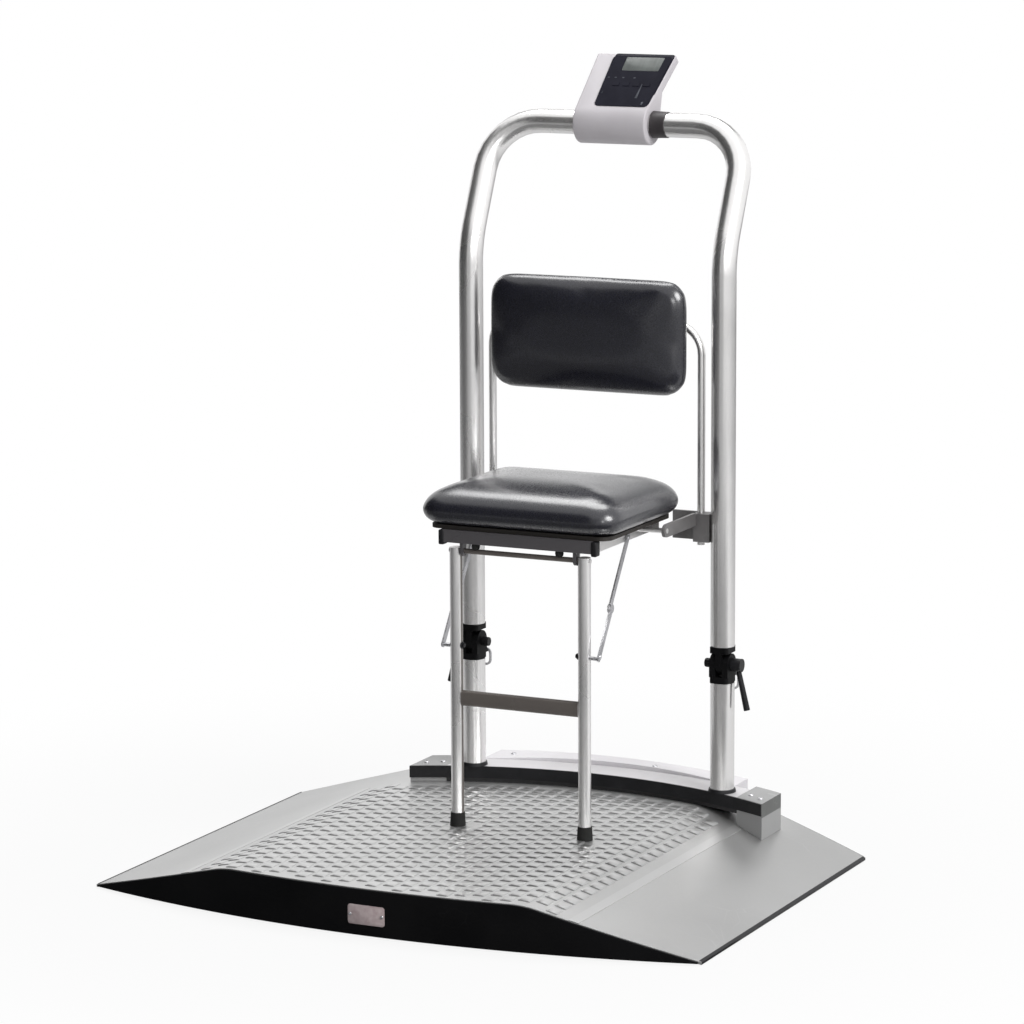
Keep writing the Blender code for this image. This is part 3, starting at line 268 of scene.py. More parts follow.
# %% Lamps
def soft_lamp(name, spot, target, size, power):
    lamp = bpy.data.lights.new(name, "AREA")
    lamp.shape, lamp.size, lamp.energy = "DISK", size, power
    obj = bpy.data.objects.new(name, lamp)
    obj.location = spot
    obj.rotation_mode = "QUATERNION"
    obj.rotation_quaternion = (Vector(target) - Vector(spot)).to_track_quat("-Z", "Y")
    obj.visible_camera = False
    bpy.context.collection.objects.link(obj)


soft_lamp("key_lamp", (3.6, -1.2, 3.2), (0, 0, 0.4), 2.4, 170)
soft_lamp("top_lamp", (-0.6, 1.4, 4.2), (0, 0, 0.2), 2.8, 120)
soft_lamp("front_lamp", (3.4, -5.2, 2.6), (0, 0, 0.5), 1.6, 42)

# %% [markdown]
# ## Cards for the metal to mirror
# A tube in an all-white room would look flat. Photographers hang black and grey cards just out of the
# picture, and the tubes pick them up as dark lines along one side. These cards are seen by mirror rays
# only: a wide dark one on the left, a half-grey one beside the camera, a dark one high behind that the
# right ramp mirrors, and a dark one on the floor in front, which darkens the undersides of the tubes and
# the front faces of the tread.

# %% Cards
def hang(name, corners, strength):
    """A flat card that only mirror rays see."""
    obj = mesh_object(name, corners, [(0, 1, 2, 3)])
    cloth = bpy.data.materials.new(name)
    cloth.use_nodes = True
    tree = cloth.node_tree
    tree.nodes.clear()
    shine, end = place(tree, "ShaderNodeEmission"), place(tree, "ShaderNodeOutputMaterial")
    shine.inputs["Strength"].default_value = strength
    wire(tree, shine.outputs[0], end.inputs["Surface"])
    obj.data.materials.append(cloth)
    obj.visible_camera = obj.visible_diffuse = obj.visible_shadow = obj.visible_transmission = False
    obj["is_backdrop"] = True
    print(name, "of strength", strength)


def card(name, heading, distance, centre_z, width, height, strength):
    """An upright card facing the object. Its heading is in degrees from the camera, positive to the right."""
    turn = math.radians(heading) + TURN - math.pi / 2
    middle = Vector((math.cos(turn), math.sin(turn), 0)) * distance
    across = Vector((-math.sin(turn), math.cos(turn), 0)) * width / 2
    low, high = (Vector((0, 0, centre_z + sign * height / 2)) for sign in (-1, 1))
    left, right_side = middle - across, middle + across
    hang(name, [left + low, right_side + low, right_side + high, left + high], strength)


card("left_card", -88, 4.2, 2.0, 9.0, 7.0, 0.04)
card("front_card", -21, 7.6, 2.0, 4.6, 8.0, 0.45)
card("rear_card", 170, 6.0, 5.4, 7.0, 3.6, 0.1)
CARD_LIFT = 0.0005
hang("floor_card", [(x, y, CARD_LIFT) for x, y in ((-3, -2.2), (2.2, -2.2), (2.2, -0.2), (-3, -0.2))], 0.16)

# %% [markdown]
# ## Shared effects as node groups
# Real finishes repeat: the same brushed grain is on tubes and deck, the same moulded skin on every plastic
# piece. Each effect is built once as a group with named sockets that puts out plain values, and each
# material gives it its own numbers. All of them read Object coordinates, so the pattern keeps its size on
# every piece.

# %% A short way to build a group
FLOAT, VECTOR = "NodeSocketFloat", "NodeSocketVector"


def effect(name, inputs, outputs):
    """A shader node group with named sockets, and its inner nodes at hand."""
    group = bpy.data.node_groups.new(name, "ShaderNodeTree")
    for label, kind, value in inputs:
        socket = group.interface.new_socket(label, in_out="INPUT", socket_type=kind)
        socket.default_value = value
    for label in outputs:
        group.interface.new_socket(label, in_out="OUTPUT", socket_type=FLOAT)
    return group, place(group, "NodeGroupInput").outputs, place(group, "NodeGroupOutput").inputs


def noise(tree, where, scale, kind="Noise", **settings):
    """A texture at some coordinates. Its scale is a number or a socket."""
    node = place(tree, "ShaderNodeTex" + kind, **settings)
    wire(tree, where, node.inputs["Vector"])
    if isinstance(scale, (int, float)):
        node.inputs["Scale"].default_value = scale
    else:
        wire(tree, scale, node.inputs["Scale"])
    return node


print("groups can be built")

# %% Slow drift of tone
# No batch of paint or plating is even. Large soft noise moves a colour a little up and down.
drift, given, out = effect("tone_drift", [("Scale", FLOAT, 6.0)], ["Drift"])
cloud = noise(drift, coordinates(drift), given["Scale"])
cloud.inputs["Detail"].default_value = 3.0
wire(drift, span(drift, cloud.outputs["Fac"], 0.3, 0.7), out["Drift"])
print("group", drift.name)

# %% Brushed lines
# Brushing leaves fine lines along one direction. Noise stretched hard along that direction gives them.
brushed, given, out = effect(
    "brushed_lines", [("Stretch", VECTOR, (1, 1, 1)), ("Scale", FLOAT, 400.0)], ["Lines", "Streaks"],
)
stretch = place(brushed, "ShaderNodeVectorMath", operation="MULTIPLY")
wire(brushed, coordinates(brushed), stretch.inputs[0])
wire(brushed, given["Stretch"], stretch.inputs[1])
fine = noise(brushed, stretch.outputs[0], given["Scale"])
broad = noise(brushed, stretch.outputs[0], maths(brushed, "MULTIPLY", given["Scale"], 0.2))
wire(brushed, fine.outputs["Fac"], out["Lines"])
wire(brushed, span(brushed, broad.outputs["Fac"], 0.35, 0.65), out["Streaks"])
print("group", brushed.name)

# %% Moulded skin
# Moulded plastic and powder paint have a fine pebble, made here from small cells softened with noise.
moulded, given, out = effect("moulded_skin", [("Scale", FLOAT, 900.0)], ["Pebble"])
where = coordinates(moulded)
cells = noise(moulded, where, given["Scale"], "Voronoi", feature="SMOOTH_F1")
grit = noise(moulded, where, maths(moulded, "MULTIPLY", given["Scale"], 1.7))
rough_part = maths(moulded, "MULTIPLY", grit.outputs["Fac"], 0.6)
wire(moulded, maths(moulded, "ADD", cells.outputs["Distance"], rough_part), out["Pebble"])
print("group", moulded.name)

# %% Leather grain
# Leatherette is embossed with small flat islands between narrow creases, and larger soft puckers lie under
# them.
grain, given, out = effect("leather_grain", [("Scale", FLOAT, 420.0)], ["Height", "Crease"])
where = coordinates(grain)
bent = place(grain, "ShaderNodeMixRGB")
bent.inputs["Fac"].default_value = 0.012
wire(grain, where, bent.inputs["Color1"])
wire(grain, noise(grain, where, 160.0).outputs["Color"], bent.inputs["Color2"])
islands = noise(grain, bent.outputs[0], given["Scale"], "Voronoi", feature="DISTANCE_TO_EDGE")
flat_top = span(grain, islands.outputs["Distance"], 0.0, 0.16)
pucker = maths(grain, "MULTIPLY", noise(grain, where, 38.0).outputs["Fac"], 2.0)
wire(grain, maths(grain, "ADD", flat_top, pucker), out["Height"])
wire(grain, maths(grain, "SUBTRACT", 1.0, flat_top), out["Crease"])
print("group", grain.name)

# %% Scuffs and settled dust
# Scuffs are thin broken lines. Dust lies only where a surface faces up, which the normal's Z tells.
scuffs, given, out = effect("scuffs", [("Scale", FLOAT, 30.0), ("Spread", FLOAT, 0.5)], ["Mask"])
where = coordinates(scuffs)
lines = noise(scuffs, where, given["Scale"], "Voronoi", feature="DISTANCE_TO_EDGE")
patches = noise(scuffs, where, maths(scuffs, "MULTIPLY", given["Scale"], 0.35))
thin = span(scuffs, lines.outputs["Distance"], 0.0, 0.012, 1.0, 0.0)
broken = maths(scuffs, "MULTIPLY", thin, span(scuffs, patches.outputs["Fac"], 0.52, 0.62))
wire(scuffs, maths(scuffs, "MULTIPLY", broken, given["Spread"]), out["Mask"])
dust, given, out = effect("settled_dust", [("Amount", FLOAT, 0.3)], ["Mask"])
specks = noise(dust, coordinates(dust), 55.0)
specks.inputs["Detail"].default_value = 8.0
lying = maths(dust, "MULTIPLY", span(dust, facing_of(dust)["Z"], 0.6, 1.0), specks.outputs["Fac"])
wire(dust, maths(dust, "MULTIPLY", lying, given["Amount"]), out["Mask"])
print("groups", scuffs.name, dust.name)

# %% [markdown]
# ## Finishes
# Every material is one Principled shader. Numbers that are the same all over sit on its own sockets; only
# what changes over the surface comes in by wire. Most finishes are built alike: two tones drift into each
# other, scuffs or dust lie on them, the shine changes a little, and a moulded skin lies under all. One
# helper builds that from a few numbers, and a second one paints over it where a mask says so.

# %% Helpers for finishes
def grey(value):
    return (value, value, value)


def finish_of(name, colour, rough, metal=0.0, **sockets):
    mat = bpy.data.materials.new(name)
    mat.use_nodes = True
    shader = mat.node_tree.nodes["Principled BSDF"]
    shader.inputs["Base Color"].default_value = (*colour, 1)
    shader.inputs["Roughness"].default_value = rough
    shader.inputs["Metallic"].default_value = metal
    for key, value in sockets.items():
        shader.inputs[key.replace("_", " ")].default_value = value
    mat.diffuse_color = (*colour, 1)
    return mat, mat.node_tree, shader


def use(tree, group, **inputs):
    """An effect with its numbers set. Its outputs are returned."""
    node = place(tree, "ShaderNodeGroup", node_tree=group)
    for key, value in inputs.items():
        node.inputs[key].default_value = value
    return node.outputs


def tint(tree, mask, first, second):
    """Two colours mixed by a mask. A colour is a tuple or a socket."""
    mix = place(tree, "ShaderNodeMixRGB")
    wire(tree, mask, mix.inputs["Fac"])
    for socket, colour in zip(mix.inputs[1:], (first, second)):
        if isinstance(colour, tuple):
            socket.default_value = (*colour, 1)
        else:
            wire(tree, colour, socket)
    return mix.outputs[0]


def relief(tree, shader, height, distance, strength):
    bump = place(tree, "ShaderNodeBump")
    bump.inputs["Distance"].default_value = distance
    bump.inputs["Strength"].default_value = strength
    wire(tree, height, bump.inputs["Height"])
    wire(tree, bump.outputs[0], shader.inputs["Normal"])


def vary(tree, shader, label, mask, low, high):
    """A number of the shader that follows a mask from one value to another."""
    wire(tree, span(tree, mask, 0, 1, low, high), shader.inputs[label])


def paint_over(tree, shader, mask, colour):
    """Another colour where the mask is 1, over all that is wired to the shader so far."""
    socket = shader.inputs["Base Color"]
    wire(tree, tint(tree, mask, socket.links[0].from_socket, colour), socket)


def brush(tree, shader, stretch, scale, depth, strength, shine=None):
    """Brushed lines in the relief, and in the shine if it is given."""
    lines = use(tree, brushed, Stretch=stretch, Scale=scale)
    relief(tree, shader, lines["Lines"], depth, strength)
    if shine:
        wire(tree, span(tree, lines["Lines"], 0.3, 0.7, *shine), shader.inputs["Roughness"])
    return lines


def layered(
    name, colour, rough, metal=0.0, tones=(), scuffed=None, dusty=None, shine=None, skin=None, **sockets,
):
    """The usual finish. Each layer is a tuple of its numbers in the order in which they are unpacked here."""
    mat, tree, shader = finish_of(name, colour, rough, metal, **sockets)
    scale, dark, light = tones
    tone = use(tree, drift, Scale=scale)[0]
    wire(tree, tint(tree, tone, dark, light), shader.inputs["Base Color"])
    if scuffed:
        scale, spread, worn = scuffed
        paint_over(tree, shader, use(tree, scuffs, Scale=scale, Spread=spread)[0], worn)
    if dusty:
        amount, dull = dusty
        paint_over(tree, shader, use(tree, dust, Amount=amount)[0], dull)
    if shine:
        vary(tree, shader, "Roughness", tone, *shine)
    if skin:
        scale, depth, strength = skin
        relief(tree, shader, use(tree, moulded, Scale=scale)[0], depth, strength)
    return mat, tree, shader


print("finishes can be built")

# %% Satin silver on the tubes
# The rail, the legs and the seat frame are satin-plated steel tube. It mirrors the room softly, so it goes
# from nearly black to white across its width, with a faint pebble and a few rubbed lines.
PLATING = {
    "colour": (0.88, 0.87, 0.865), "metal": 0.94, "scuffed": (26.0, 0.4, grey(0.96)),
    "tones": (5.0, (0.84, 0.83, 0.825), (0.92, 0.91, 0.905)),
}
silver, *_ = layered(
    "satin_silver_tube", rough=0.26, shine=(0.22, 0.31), skin=(1400.0, 0.00006, 0.2), **PLATING,
)
print("finish", silver.name)

# %% Rolled aluminium of the deck
# The deck is rolled aluminium. Rolling lines run along the ramps and wheels leave scuffs. The ramps are
# painted a shade darker than the flat middle.
RAMPS_FROM, RAMPS_FULL = 0.27, 0.4
deck_metal, t, s = layered(
    "rolled_aluminium", (0.58, 0.58, 0.575), 0.38, 0.8, tones=(3.4, (0.53, 0.53, 0.527), (0.6, 0.6, 0.597)),
)
on_ramps = span(t, maths(t, "ABSOLUTE", spot_of(t)["X"], 0), RAMPS_FROM, RAMPS_FULL)
# The ramps are painted a darker tone than the flat middle.
darker_ramp_tone = tint(t, use(t, drift, Scale=3.4)[0], (0.44, 0.44, 0.438), (0.5, 0.5, 0.498))
paint_over(t, s, on_ramps, darker_ramp_tone)
paint_over(t, s, use(t, scuffs, Scale=16.0, Spread=0.25)[0], (0.64, 0.64, 0.637))
brush(t, s, (0.04, 1.0, 1.0), 620.0, 0.00002, 0.08, (0.35, 0.41))
print("finish", deck_metal.name)

# %% Tread metal
# The tread stands proud, its tops polished by wheels and shoes. Its darker sides are painted shade.
tread_metal, t, s = finish_of("tread_aluminium", (0.64, 0.64, 0.637), 0.28, 0.85)
facing = facing_of(t)
top, shaded_front_side = span(t, facing["Z"], 0.9, 0.985), span(t, facing["Y"], -0.22, -0.1, 1.0, 0.0)
polished = tint(t, use(t, drift, Scale=4.0)[0], (0.58, 0.58, 0.577), (0.66, 0.66, 0.657))
# Painted shade: the sides are darker than the tops, and those that face the front are nearly black.
wire(t, tint(t, top, grey(0.4), polished), s.inputs["Base Color"])
paint_over(t, s, shaded_front_side, grey(0.13))
vary(t, s, "Metallic", top, 0.25, 0.85)
vary(t, s, "Roughness", top, 0.6, 0.3)
brush(t, s, (0.2, 1.0, 1.0), 500.0, 0.00002, 0.08)
print("finish", tread_metal.name)

# %% Pale painted housings
# The pale pieces are painted in a very light lilac grey with a fine moulded skin. The head's coat is darker
# and flatter than the rear cover's.
PAINT_SKIN = (1500.0, 0.0001, 0.3)
pale, *_ = layered(
    "pale_lilac_grey", (0.72, 0.7, 0.72), 0.45, tones=(7.0, (0.66, 0.64, 0.665), (0.76, 0.745, 0.765)),
    dusty=(0.12, (0.5, 0.48, 0.46)), shine=(0.4, 0.5), skin=PAINT_SKIN, Coat_Weight=0.1, Coat_Roughness=0.3,
)
head_grey, *_ = layered(
    "head_lilac_grey", (0.52, 0.5, 0.525), 0.45, tones=(14.0, (0.49, 0.468, 0.49), (0.55, 0.526, 0.55)),
    dusty=(0.2, (0.5, 0.48, 0.47)), shine=(0.4, 0.52), skin=PAINT_SKIN, Specular_IOR_Level=0.3,
)
print("finishes", pale.name, head_grey.name)

# %% Black plastic, black paint and rubber
# Three blacks that differ in shine and skin: moulded plastic, powder-painted steel and chalky rubber.
plastic, *_ = layered(
    "black_moulded_plastic", (0.008, 0.008, 0.009), 0.4,
    tones=(22.0, (0.005, 0.005, 0.006), (0.011, 0.011, 0.013)),
    scuffed=(60.0, 0.35, grey(0.05)), shine=(0.36, 0.5), skin=(1300.0, 0.0002, 0.4), Specular_IOR_Level=0.28,
)
black_paint, *_ = layered(
    "black_powder_paint", (0.003, 0.003, 0.0035), 0.5,
    tones=(9.0, (0.002, 0.002, 0.0025), (0.004, 0.004, 0.0045)),
    scuffed=(34.0, 0.3, grey(0.02)), shine=(0.44, 0.58), skin=(900.0, 0.00025, 0.5), Specular_IOR_Level=0.12,
)
rubber, *_ = layered(
    "chalky_rubber", grey(0.012), 0.75, tones=(40.0, grey(0.008), (0.017, 0.017, 0.016)),
    dusty=(0.35, (0.08, 0.077, 0.072)), shine=(0.68, 0.85), skin=(700.0, 0.0002, 0.5),
    Specular_IOR_Level=0.25,
)
print("finishes", plastic.name, black_paint.name, rubber.name)

# %% Clutch collar
# The collar beside the head is a softer plastic in a warm dark grey, partly its own and partly painted shade.
# Partly painted shade: the collar's dark grey stands in for the shade on the bar beside the head.
collar_grey, *_ = layered(
    "collar_grey_plastic", (0.045, 0.04, 0.042), 0.45,
    tones=(30.0, (0.036, 0.032, 0.034), (0.058, 0.052, 0.054)),
    skin=(1300.0, 0.0002, 0.4), Specular_IOR_Level=0.3,
)
print("finish", collar_grey.name)

# %% Leatherette
# Black vinyl with a navy cast. It is smooth and a little oily, so it shows a broad pale glare, and the
# creases between its grain islands are darker and duller than their tops.
vinyl, t, s = layered(
    "navy_black_leatherette", (0.009, 0.0092, 0.016), 0.3,
    tones=(9.0, (0.009, 0.0092, 0.016), (0.014, 0.0143, 0.024)),
    Specular_IOR_Level=0.6, Coat_Weight=0.8, Coat_Roughness=0.24,
)
hide = use(t, grain, Scale=420.0)
paint_over(t, s, hide["Crease"], (0.003, 0.003, 0.005))
vary(t, s, "Roughness", hide["Crease"], 0.2, 0.4)
relief(t, s, hide["Height"], 0.00008, 0.1)
print("finish", vinyl.name)

# %% Zinc, board and display glass
# Plated steel is bright and streaked, the boards are plywood with a dark stain, and the display is a
# grey-green glass panel with faint rows in it.
zinc, t, s = layered(
    "zinc_plated_steel", (0.6, 0.6, 0.61), 0.3, 0.85, tones=(30.0, (0.48, 0.48, 0.5), (0.68, 0.68, 0.7)),
)
brush(t, s, (1.0, 1.0, 0.1), 500.0, 0.00008, 0.3, (0.22, 0.42))
board, t, s = layered(
    "stained_plywood", (0.02, 0.016, 0.013), 0.6, tones=(8.0, (0.014, 0.011, 0.009), (0.03, 0.024, 0.019)),
)
veins = brush(t, s, (0.06, 1.0, 1.0), 260.0, 0.0002, 0.4, (0.5, 0.7))
paint_over(t, s, veins["Streaks"], (0.011, 0.008, 0.006))
glass, t, s = layered(
    "display_glass", (0.17, 0.19, 0.18), 0.18, tones=(60.0, (0.1, 0.108, 0.104), (0.13, 0.14, 0.135)),
    shine=(0.14, 0.24), Specular_IOR_Level=0.06,
)
faint_rows = use(t, brushed, Stretch=(1.0, 0.02, 0.02), Scale=900.0)
paint_over(t, s, faint_rows["Streaks"], (0.13, 0.142, 0.136))
print("finishes", zinc.name, board.name, glass.name)

# %% Panel and brackets
# The face panel is a near-black navy sheet. The brackets are a darker grey than the tubes.
panel_face, *_ = layered(
    "navy_face_panel", (0.007, 0.0075, 0.012), 0.34, tones=(30.0, (0.004, 0.004, 0.01), (0.01, 0.01, 0.018)),
    scuffed=(120.0, 0.3, (0.05, 0.05, 0.06)), shine=(0.28, 0.4), Specular_IOR_Level=0.03,
)
bracket_grey, *_ = layered(
    "bracket_grey", (0.16, 0.155, 0.155), 0.42, 0.3, tones=(18.0, (0.12, 0.115, 0.115), (0.19, 0.185, 0.185)),
    scuffed=(50.0, 0.5, (0.35, 0.34, 0.34)), shine=(0.36, 0.5), skin=(1100.0, 0.0001, 0.3),
)
print("finishes", panel_face.name, bracket_grey.name)

# %% Leg frame and seat frame
# On the leg frame only the legs are bright: what lies between them, the rung and the pivot rod, has a
# brown-grey paint. The seat frame's front rail is dark, partly a dull paint and partly painted shade, and its
# side rails are bright. Both masks read Object coordinates, so they turn with their piece.
LEG_INSIDE = LEG_HALF - 0.009
leg_paint, t, s = layered("leg_tube_and_rung", rough=0.26, shine=(0.24, 0.33), **PLATING)
from_middle = maths(t, "ABSOLUTE", maths(t, "SUBTRACT", spot_of(t)["X"], LEG_MIDDLE), 0)
between = span(t, from_middle, LEG_INSIDE - 0.0002, LEG_INSIDE + 0.0002, 1.0, 0.0)
paint_over(t, s, between, (0.13, 0.115, 0.105))
vary(t, s, "Metallic", between, 0.94, 0.15)
FRONT_RAIL_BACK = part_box("seat_frame")[0].y + 0.0163
frame_paint, t, s = layered("seat_frame_paint", rough=0.28, shine=(0.24, 0.33), **PLATING)
# The front rail is painted dark: partly a dull paint, partly painted shade.
shaded_front_rail = span(t, spot_of(t)["Y"], FRONT_RAIL_BACK - 0.0002, FRONT_RAIL_BACK + 0.0002, 1.0, 0.0)
paint_over(t, s, shaded_front_rail, (0.085, 0.08, 0.085))
vary(t, s, "Metallic", shaded_front_rail, 0.94, 0.1)
print("finishes", leg_paint.name, frame_paint.name)

# %% The rear beam's body and its end blocks
# The beam is pale above. Under its black fascia it is painted nearly black, a painted shadow, and where an
# end
# block reaches down to the ramp it is bare metal like the ramp. The outer end faces are painted a darker
# grey:
# painted shade.
FASCIA_FOOT, BLOCK_FOOT = (0.0795, 0.0805), (0.0755, 0.0765)
beam_paint_and_shade, t, s = layered(
    "beam_paint_and_shade", (0.6, 0.59, 0.6), 0.45, tones=(7.0, (0.54, 0.53, 0.54), (0.64, 0.625, 0.64)),
    dusty=(0.12, (0.46, 0.45, 0.44)), shine=(0.4, 0.5), skin=PAINT_SKIN,
)
# Painted shadow: the strip under the fascia is painted nearly black.
paint_over(t, s, span(t, spot_of(t)["Z"], *FASCIA_FOOT, 1.0, 0.0), (0.012, 0.012, 0.013))
block_metal, t, s = layered(
    "end_block_casting", grey(0.36), 0.42, tones=(26.0, grey(0.27), grey(0.34)), shine=(0.36, 0.48),
)
# Painted shade: faces that point along X are painted darker than the top.
shaded_end_face = span(t, maths(t, "ABSOLUTE", facing_of(t)["X"], 0), 0.7, 0.8)
paint_over(t, s, shaded_end_face, (0.095, 0.098, 0.095))
paint_over(t, s, use(t, scuffs, Scale=70.0, Spread=0.4)[0], grey(0.5))
paint_over(t, s, span(t, spot_of(t)["Z"], *BLOCK_FOOT, 1.0, 0.0), grey(0.3))
print("finishes", beam_paint_and_shade.name, block_metal.name)

# %% [markdown]
# ## Give the solids their finishes
# The record names each solid's slot. A slot maps to one finish here, with a few solids that want their own.

# %% Dress the solids
SLOTS = {
    "satin_silver": silver, "satin_deck": deck_metal, "pale_grey": pale, "black_plastic": plastic,
    "black_steel": black_paint, "rubber": rubber, "leatherette": vinyl, "zinc_steel": zinc,
    "display_window": glass, "seat_board": board,
}
OWN = {
    "head_housing": head_grey, "head_panel": panel_face, "seat_bracket_left": bracket_grey,
    "seat_bracket_right": bracket_grey, "leg_frame": leg_paint, "beam_body": beam_paint_and_shade,
    "end_block_left": block_metal, "end_block_right": block_metal, "clutch_collar": collar_grey,
    "seat_frame": frame_paint,
    **{f"key_{number}": panel_face for number in range(1, 5)},
}
for name, obj in NODES.items():
    for i, old in enumerate(obj.data.materials):
        obj.data.materials[i] = OWN.get(name, SLOTS[old.name.split(".")[0]])
print("dressed", len(NODES), "solids")

# %% [markdown]
# ## Small helpers for shapes
# Hardware is mostly turned or extruded. One helper turns a profile about an axis, another lofts rings of
# points, and one gives a finished piece its body and its slot's material, which every piece needs.

# %% Shape helpers
SIDES = (("left", -1), ("right", 1))


def give(obj, body, slot, mat=None):
    """A piece gets its body, and the slot's own finish unless another one is given."""
    obj.data.materials.clear()
    obj.data.materials.append(mat or SLOTS[slot])
    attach(obj, body)
    return obj


def tidy(obj, angle=40):
    """Merge doubles, point faces outwards, and shade smooth up to an angle."""
    work = bmesh.new()
    work.from_mesh(obj.data)
    bmesh.ops.remove_doubles(work, verts=work.verts, dist=1e-6)
    bmesh.ops.recalc_face_normals(work, faces=work.faces)
    for edge in work.edges:
        edge.smooth = not (len(edge.link_faces) == 2 and edge.calc_face_angle(0) > math.radians(angle))
    for face in work.faces:
        face.smooth = True
    work.to_mesh(obj.data)
    work.free()
    return obj


def loft(name, rings):
    """Join rings of points that have the same count, and cap both ends."""
    count = len(rings[0])
    faces = []
    for r in range(len(rings) - 1):
        for i in range(count):
            j = (i + 1) % count
            faces.append((r * count + i, r * count + j, (r + 1) * count + j, (r + 1) * count + i))
    faces.append(tuple(range(count))[::-1])
    faces.append(tuple((len(rings) - 1) * count + i for i in range(count)))
    return tidy(mesh_object(name, [p for ring in rings for p in ring], faces))


def turned(name, profile, centre=(0, 0, 0), axis=(0, 0, 1), count=24):
    """A turned shape: (radius, height) pairs about an axis through the centre."""
    spin = Vector((0, 0, 1)).rotation_difference(Vector(axis))
    rings = [[Vector(centre) + spin @ Vector(p) for p in ring_points(r, count, h)] for r, h in profile]
    return loft(name, rings)


def bake(obj):
    """Put what the modifiers make of a mesh in its place."""
    mesh = bpy.data.meshes.new_from_object(obj.evaluated_get(bpy.context.evaluated_depsgraph_get()))
    obj.modifiers.clear()
    old, obj.data = obj.data, mesh
    bpy.data.meshes.remove(old)
    return mesh


def steps(low, high, count):
    return [low + (high - low) * i / count for i in range(count + 1)]


def body_of(node):
    """The name of the body that carries a node."""
    return next(name for name, empty in frame["bodies"].items() if empty == NODES[node].parent)


print("shape helpers ready")

# %% [markdown]
# ## The deck's curves
# What lies on the deck has to follow it: flat in the middle, a rounded bend, then a ramp, between a front
# edge and a rear beam that are both arcs. The sizes are those of the solids.

# %% Heights and edges of the deck
DECK_TOP, TIP_TOP = 0.0725, 0.005
DECK_HALF, FLAT_HALF, RAMP_RUN, BEND = 0.5, 0.246, 0.254, 0.02
RAMP_SLOPE = (DECK_TOP - TIP_TOP) / RAMP_RUN
EDGE_BOW, BEAM_BOW = 0.071, 0.075
FRONT_CORNER_Y = -0.3392905
REAR_CORNER_Y, BEAM_CORNER_Y = FRONT_CORNER_Y + 0.640, FRONT_CORNER_Y + 0.540
CLADDING = 0.0033
fascia_low, fascia_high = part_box("beam_fascia")
BEAM_HALF = (fascia_high.x - fascia_low.x) / 2


def deck_height(x):
    """The deck's top, as the solid has it: flat, a rounded bend, then the ramp."""
    past = abs(x) - FLAT_HALF
    if past <= -BEND:
        return DECK_TOP
    if past < BEND:
        return DECK_TOP - RAMP_SLOPE * (past + BEND) ** 2 / (4 * BEND)
    return DECK_TOP - RAMP_SLOPE * past


def arc(x, half, rise):
    """The height of an arc over its chord, which is twice half long."""
    radius = (half * half + rise * rise) / (2 * rise)
    return math.sqrt(radius * radius - x * x) - (radius - rise)


def front_edge(x):
    return FRONT_CORNER_Y - arc(x, DECK_HALF, EDGE_BOW)


def beam_edge(x):
    """The front of the rear beam's fascia. Beside the beam it goes straight on."""
    along = min(max(x - X0, -BEAM_HALF), BEAM_HALF)
    return BEAM_CORNER_Y + arc(along, BEAM_HALF, BEAM_BOW) - CLADDING


print("deck height at the bend", round(deck_height(FLAT_HALF), 4), "front edge", round(front_edge(0), 4))

# %% [markdown]
# ## Smooth twins of the tubes
# A mirror-like tube shows every flat strip of its mesh as a stripe. The solids can't be changed, so each
# tube gets a twin: the same triangles, merged at their corners and shaded smooth, with its real edges kept
# sharp.

# %% Smooth twins
TWIN_ANGLE = 33
TWINS = {
    "handrail": "satin_silver", "backrest_tube": "satin_silver", "leg_frame": "satin_silver",
    "post_stub_left": "satin_silver", "post_stub_right": "satin_silver", "seat_frame": "satin_silver",
    "head_housing": "pale_grey", "clutch_collar": "black_plastic",
    "base_ring_left": "black_plastic", "base_ring_right": "black_plastic",
    "ferrule_left": "rubber", "ferrule_right": "rubber",
}
for node, slot in TWINS.items():
    solid = NODES[node].data
    triangles = [list(p.vertices) for p in solid.polygons]
    twin = mesh_object(f"{node}_smooth", [v.co for v in solid.vertices], triangles)
    give(tidy(twin, TWIN_ANGLE), body_of(node), slot, solid.materials[0])
    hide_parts(node)
print("smooth twins", len(TWINS))

# %% [markdown]
# ## The tread
# Raised blocks stand in slanted rows on the flat of the deck and over both bends. They could be modelled
# one by one or with an array, but the deck bends and its front is an arc. A Geometry Nodes tree does it
# better: it lays a slanted grid of points, drops each point on a field mesh by ray, keeps those that land,
# and stands a block there square to the surface. Where the legs stand, the field has holes, so no block is
# under a foot.

# %% A carrier field for the blocks
FIELD_HALF, FIELD_LIFT, HOLE_RADIUS = 0.302, 0.0002, 0.021


def field_mesh(front, rear, holes, steps_x=60, steps_y=40):
    """A surface over the deck between two edges, with its faces up."""
    columns = [(x, steps(front(x), rear(x), steps_y)) for x in steps(-FIELD_HALF, FIELD_HALF, steps_x)]
    points = [(x, y, deck_height(x) + FIELD_LIFT) for x, ys in columns for y in ys]
    faces = []
    for i in range(steps_x):
        for j in range(steps_y):
            a = i * (steps_y + 1) + j
            middle = (Vector(points[a]) + Vector(points[a + steps_y + 2])) / 2
            if all((middle.xy - Vector(hole)).length > HOLE_RADIUS for hole in holes):
                faces.append((a, a + steps_y + 1, a + steps_y + 2, a + 1))
    return mesh_object("tread_field", points, faces)


def tread_rear(x):
    return beam_edge(x) - 0.004


LEG_SPOTS = [middle_of(f"ferrule_{side}")[:2] for side in ("left", "right")]
field = field_mesh(lambda x: front_edge(x) + 0.016, lambda x: tread_rear(x) - 0.014, LEG_SPOTS)
print("tread field", len(field.data.polygons), "faces, with", len(LEG_SPOTS), "holes for the legs")

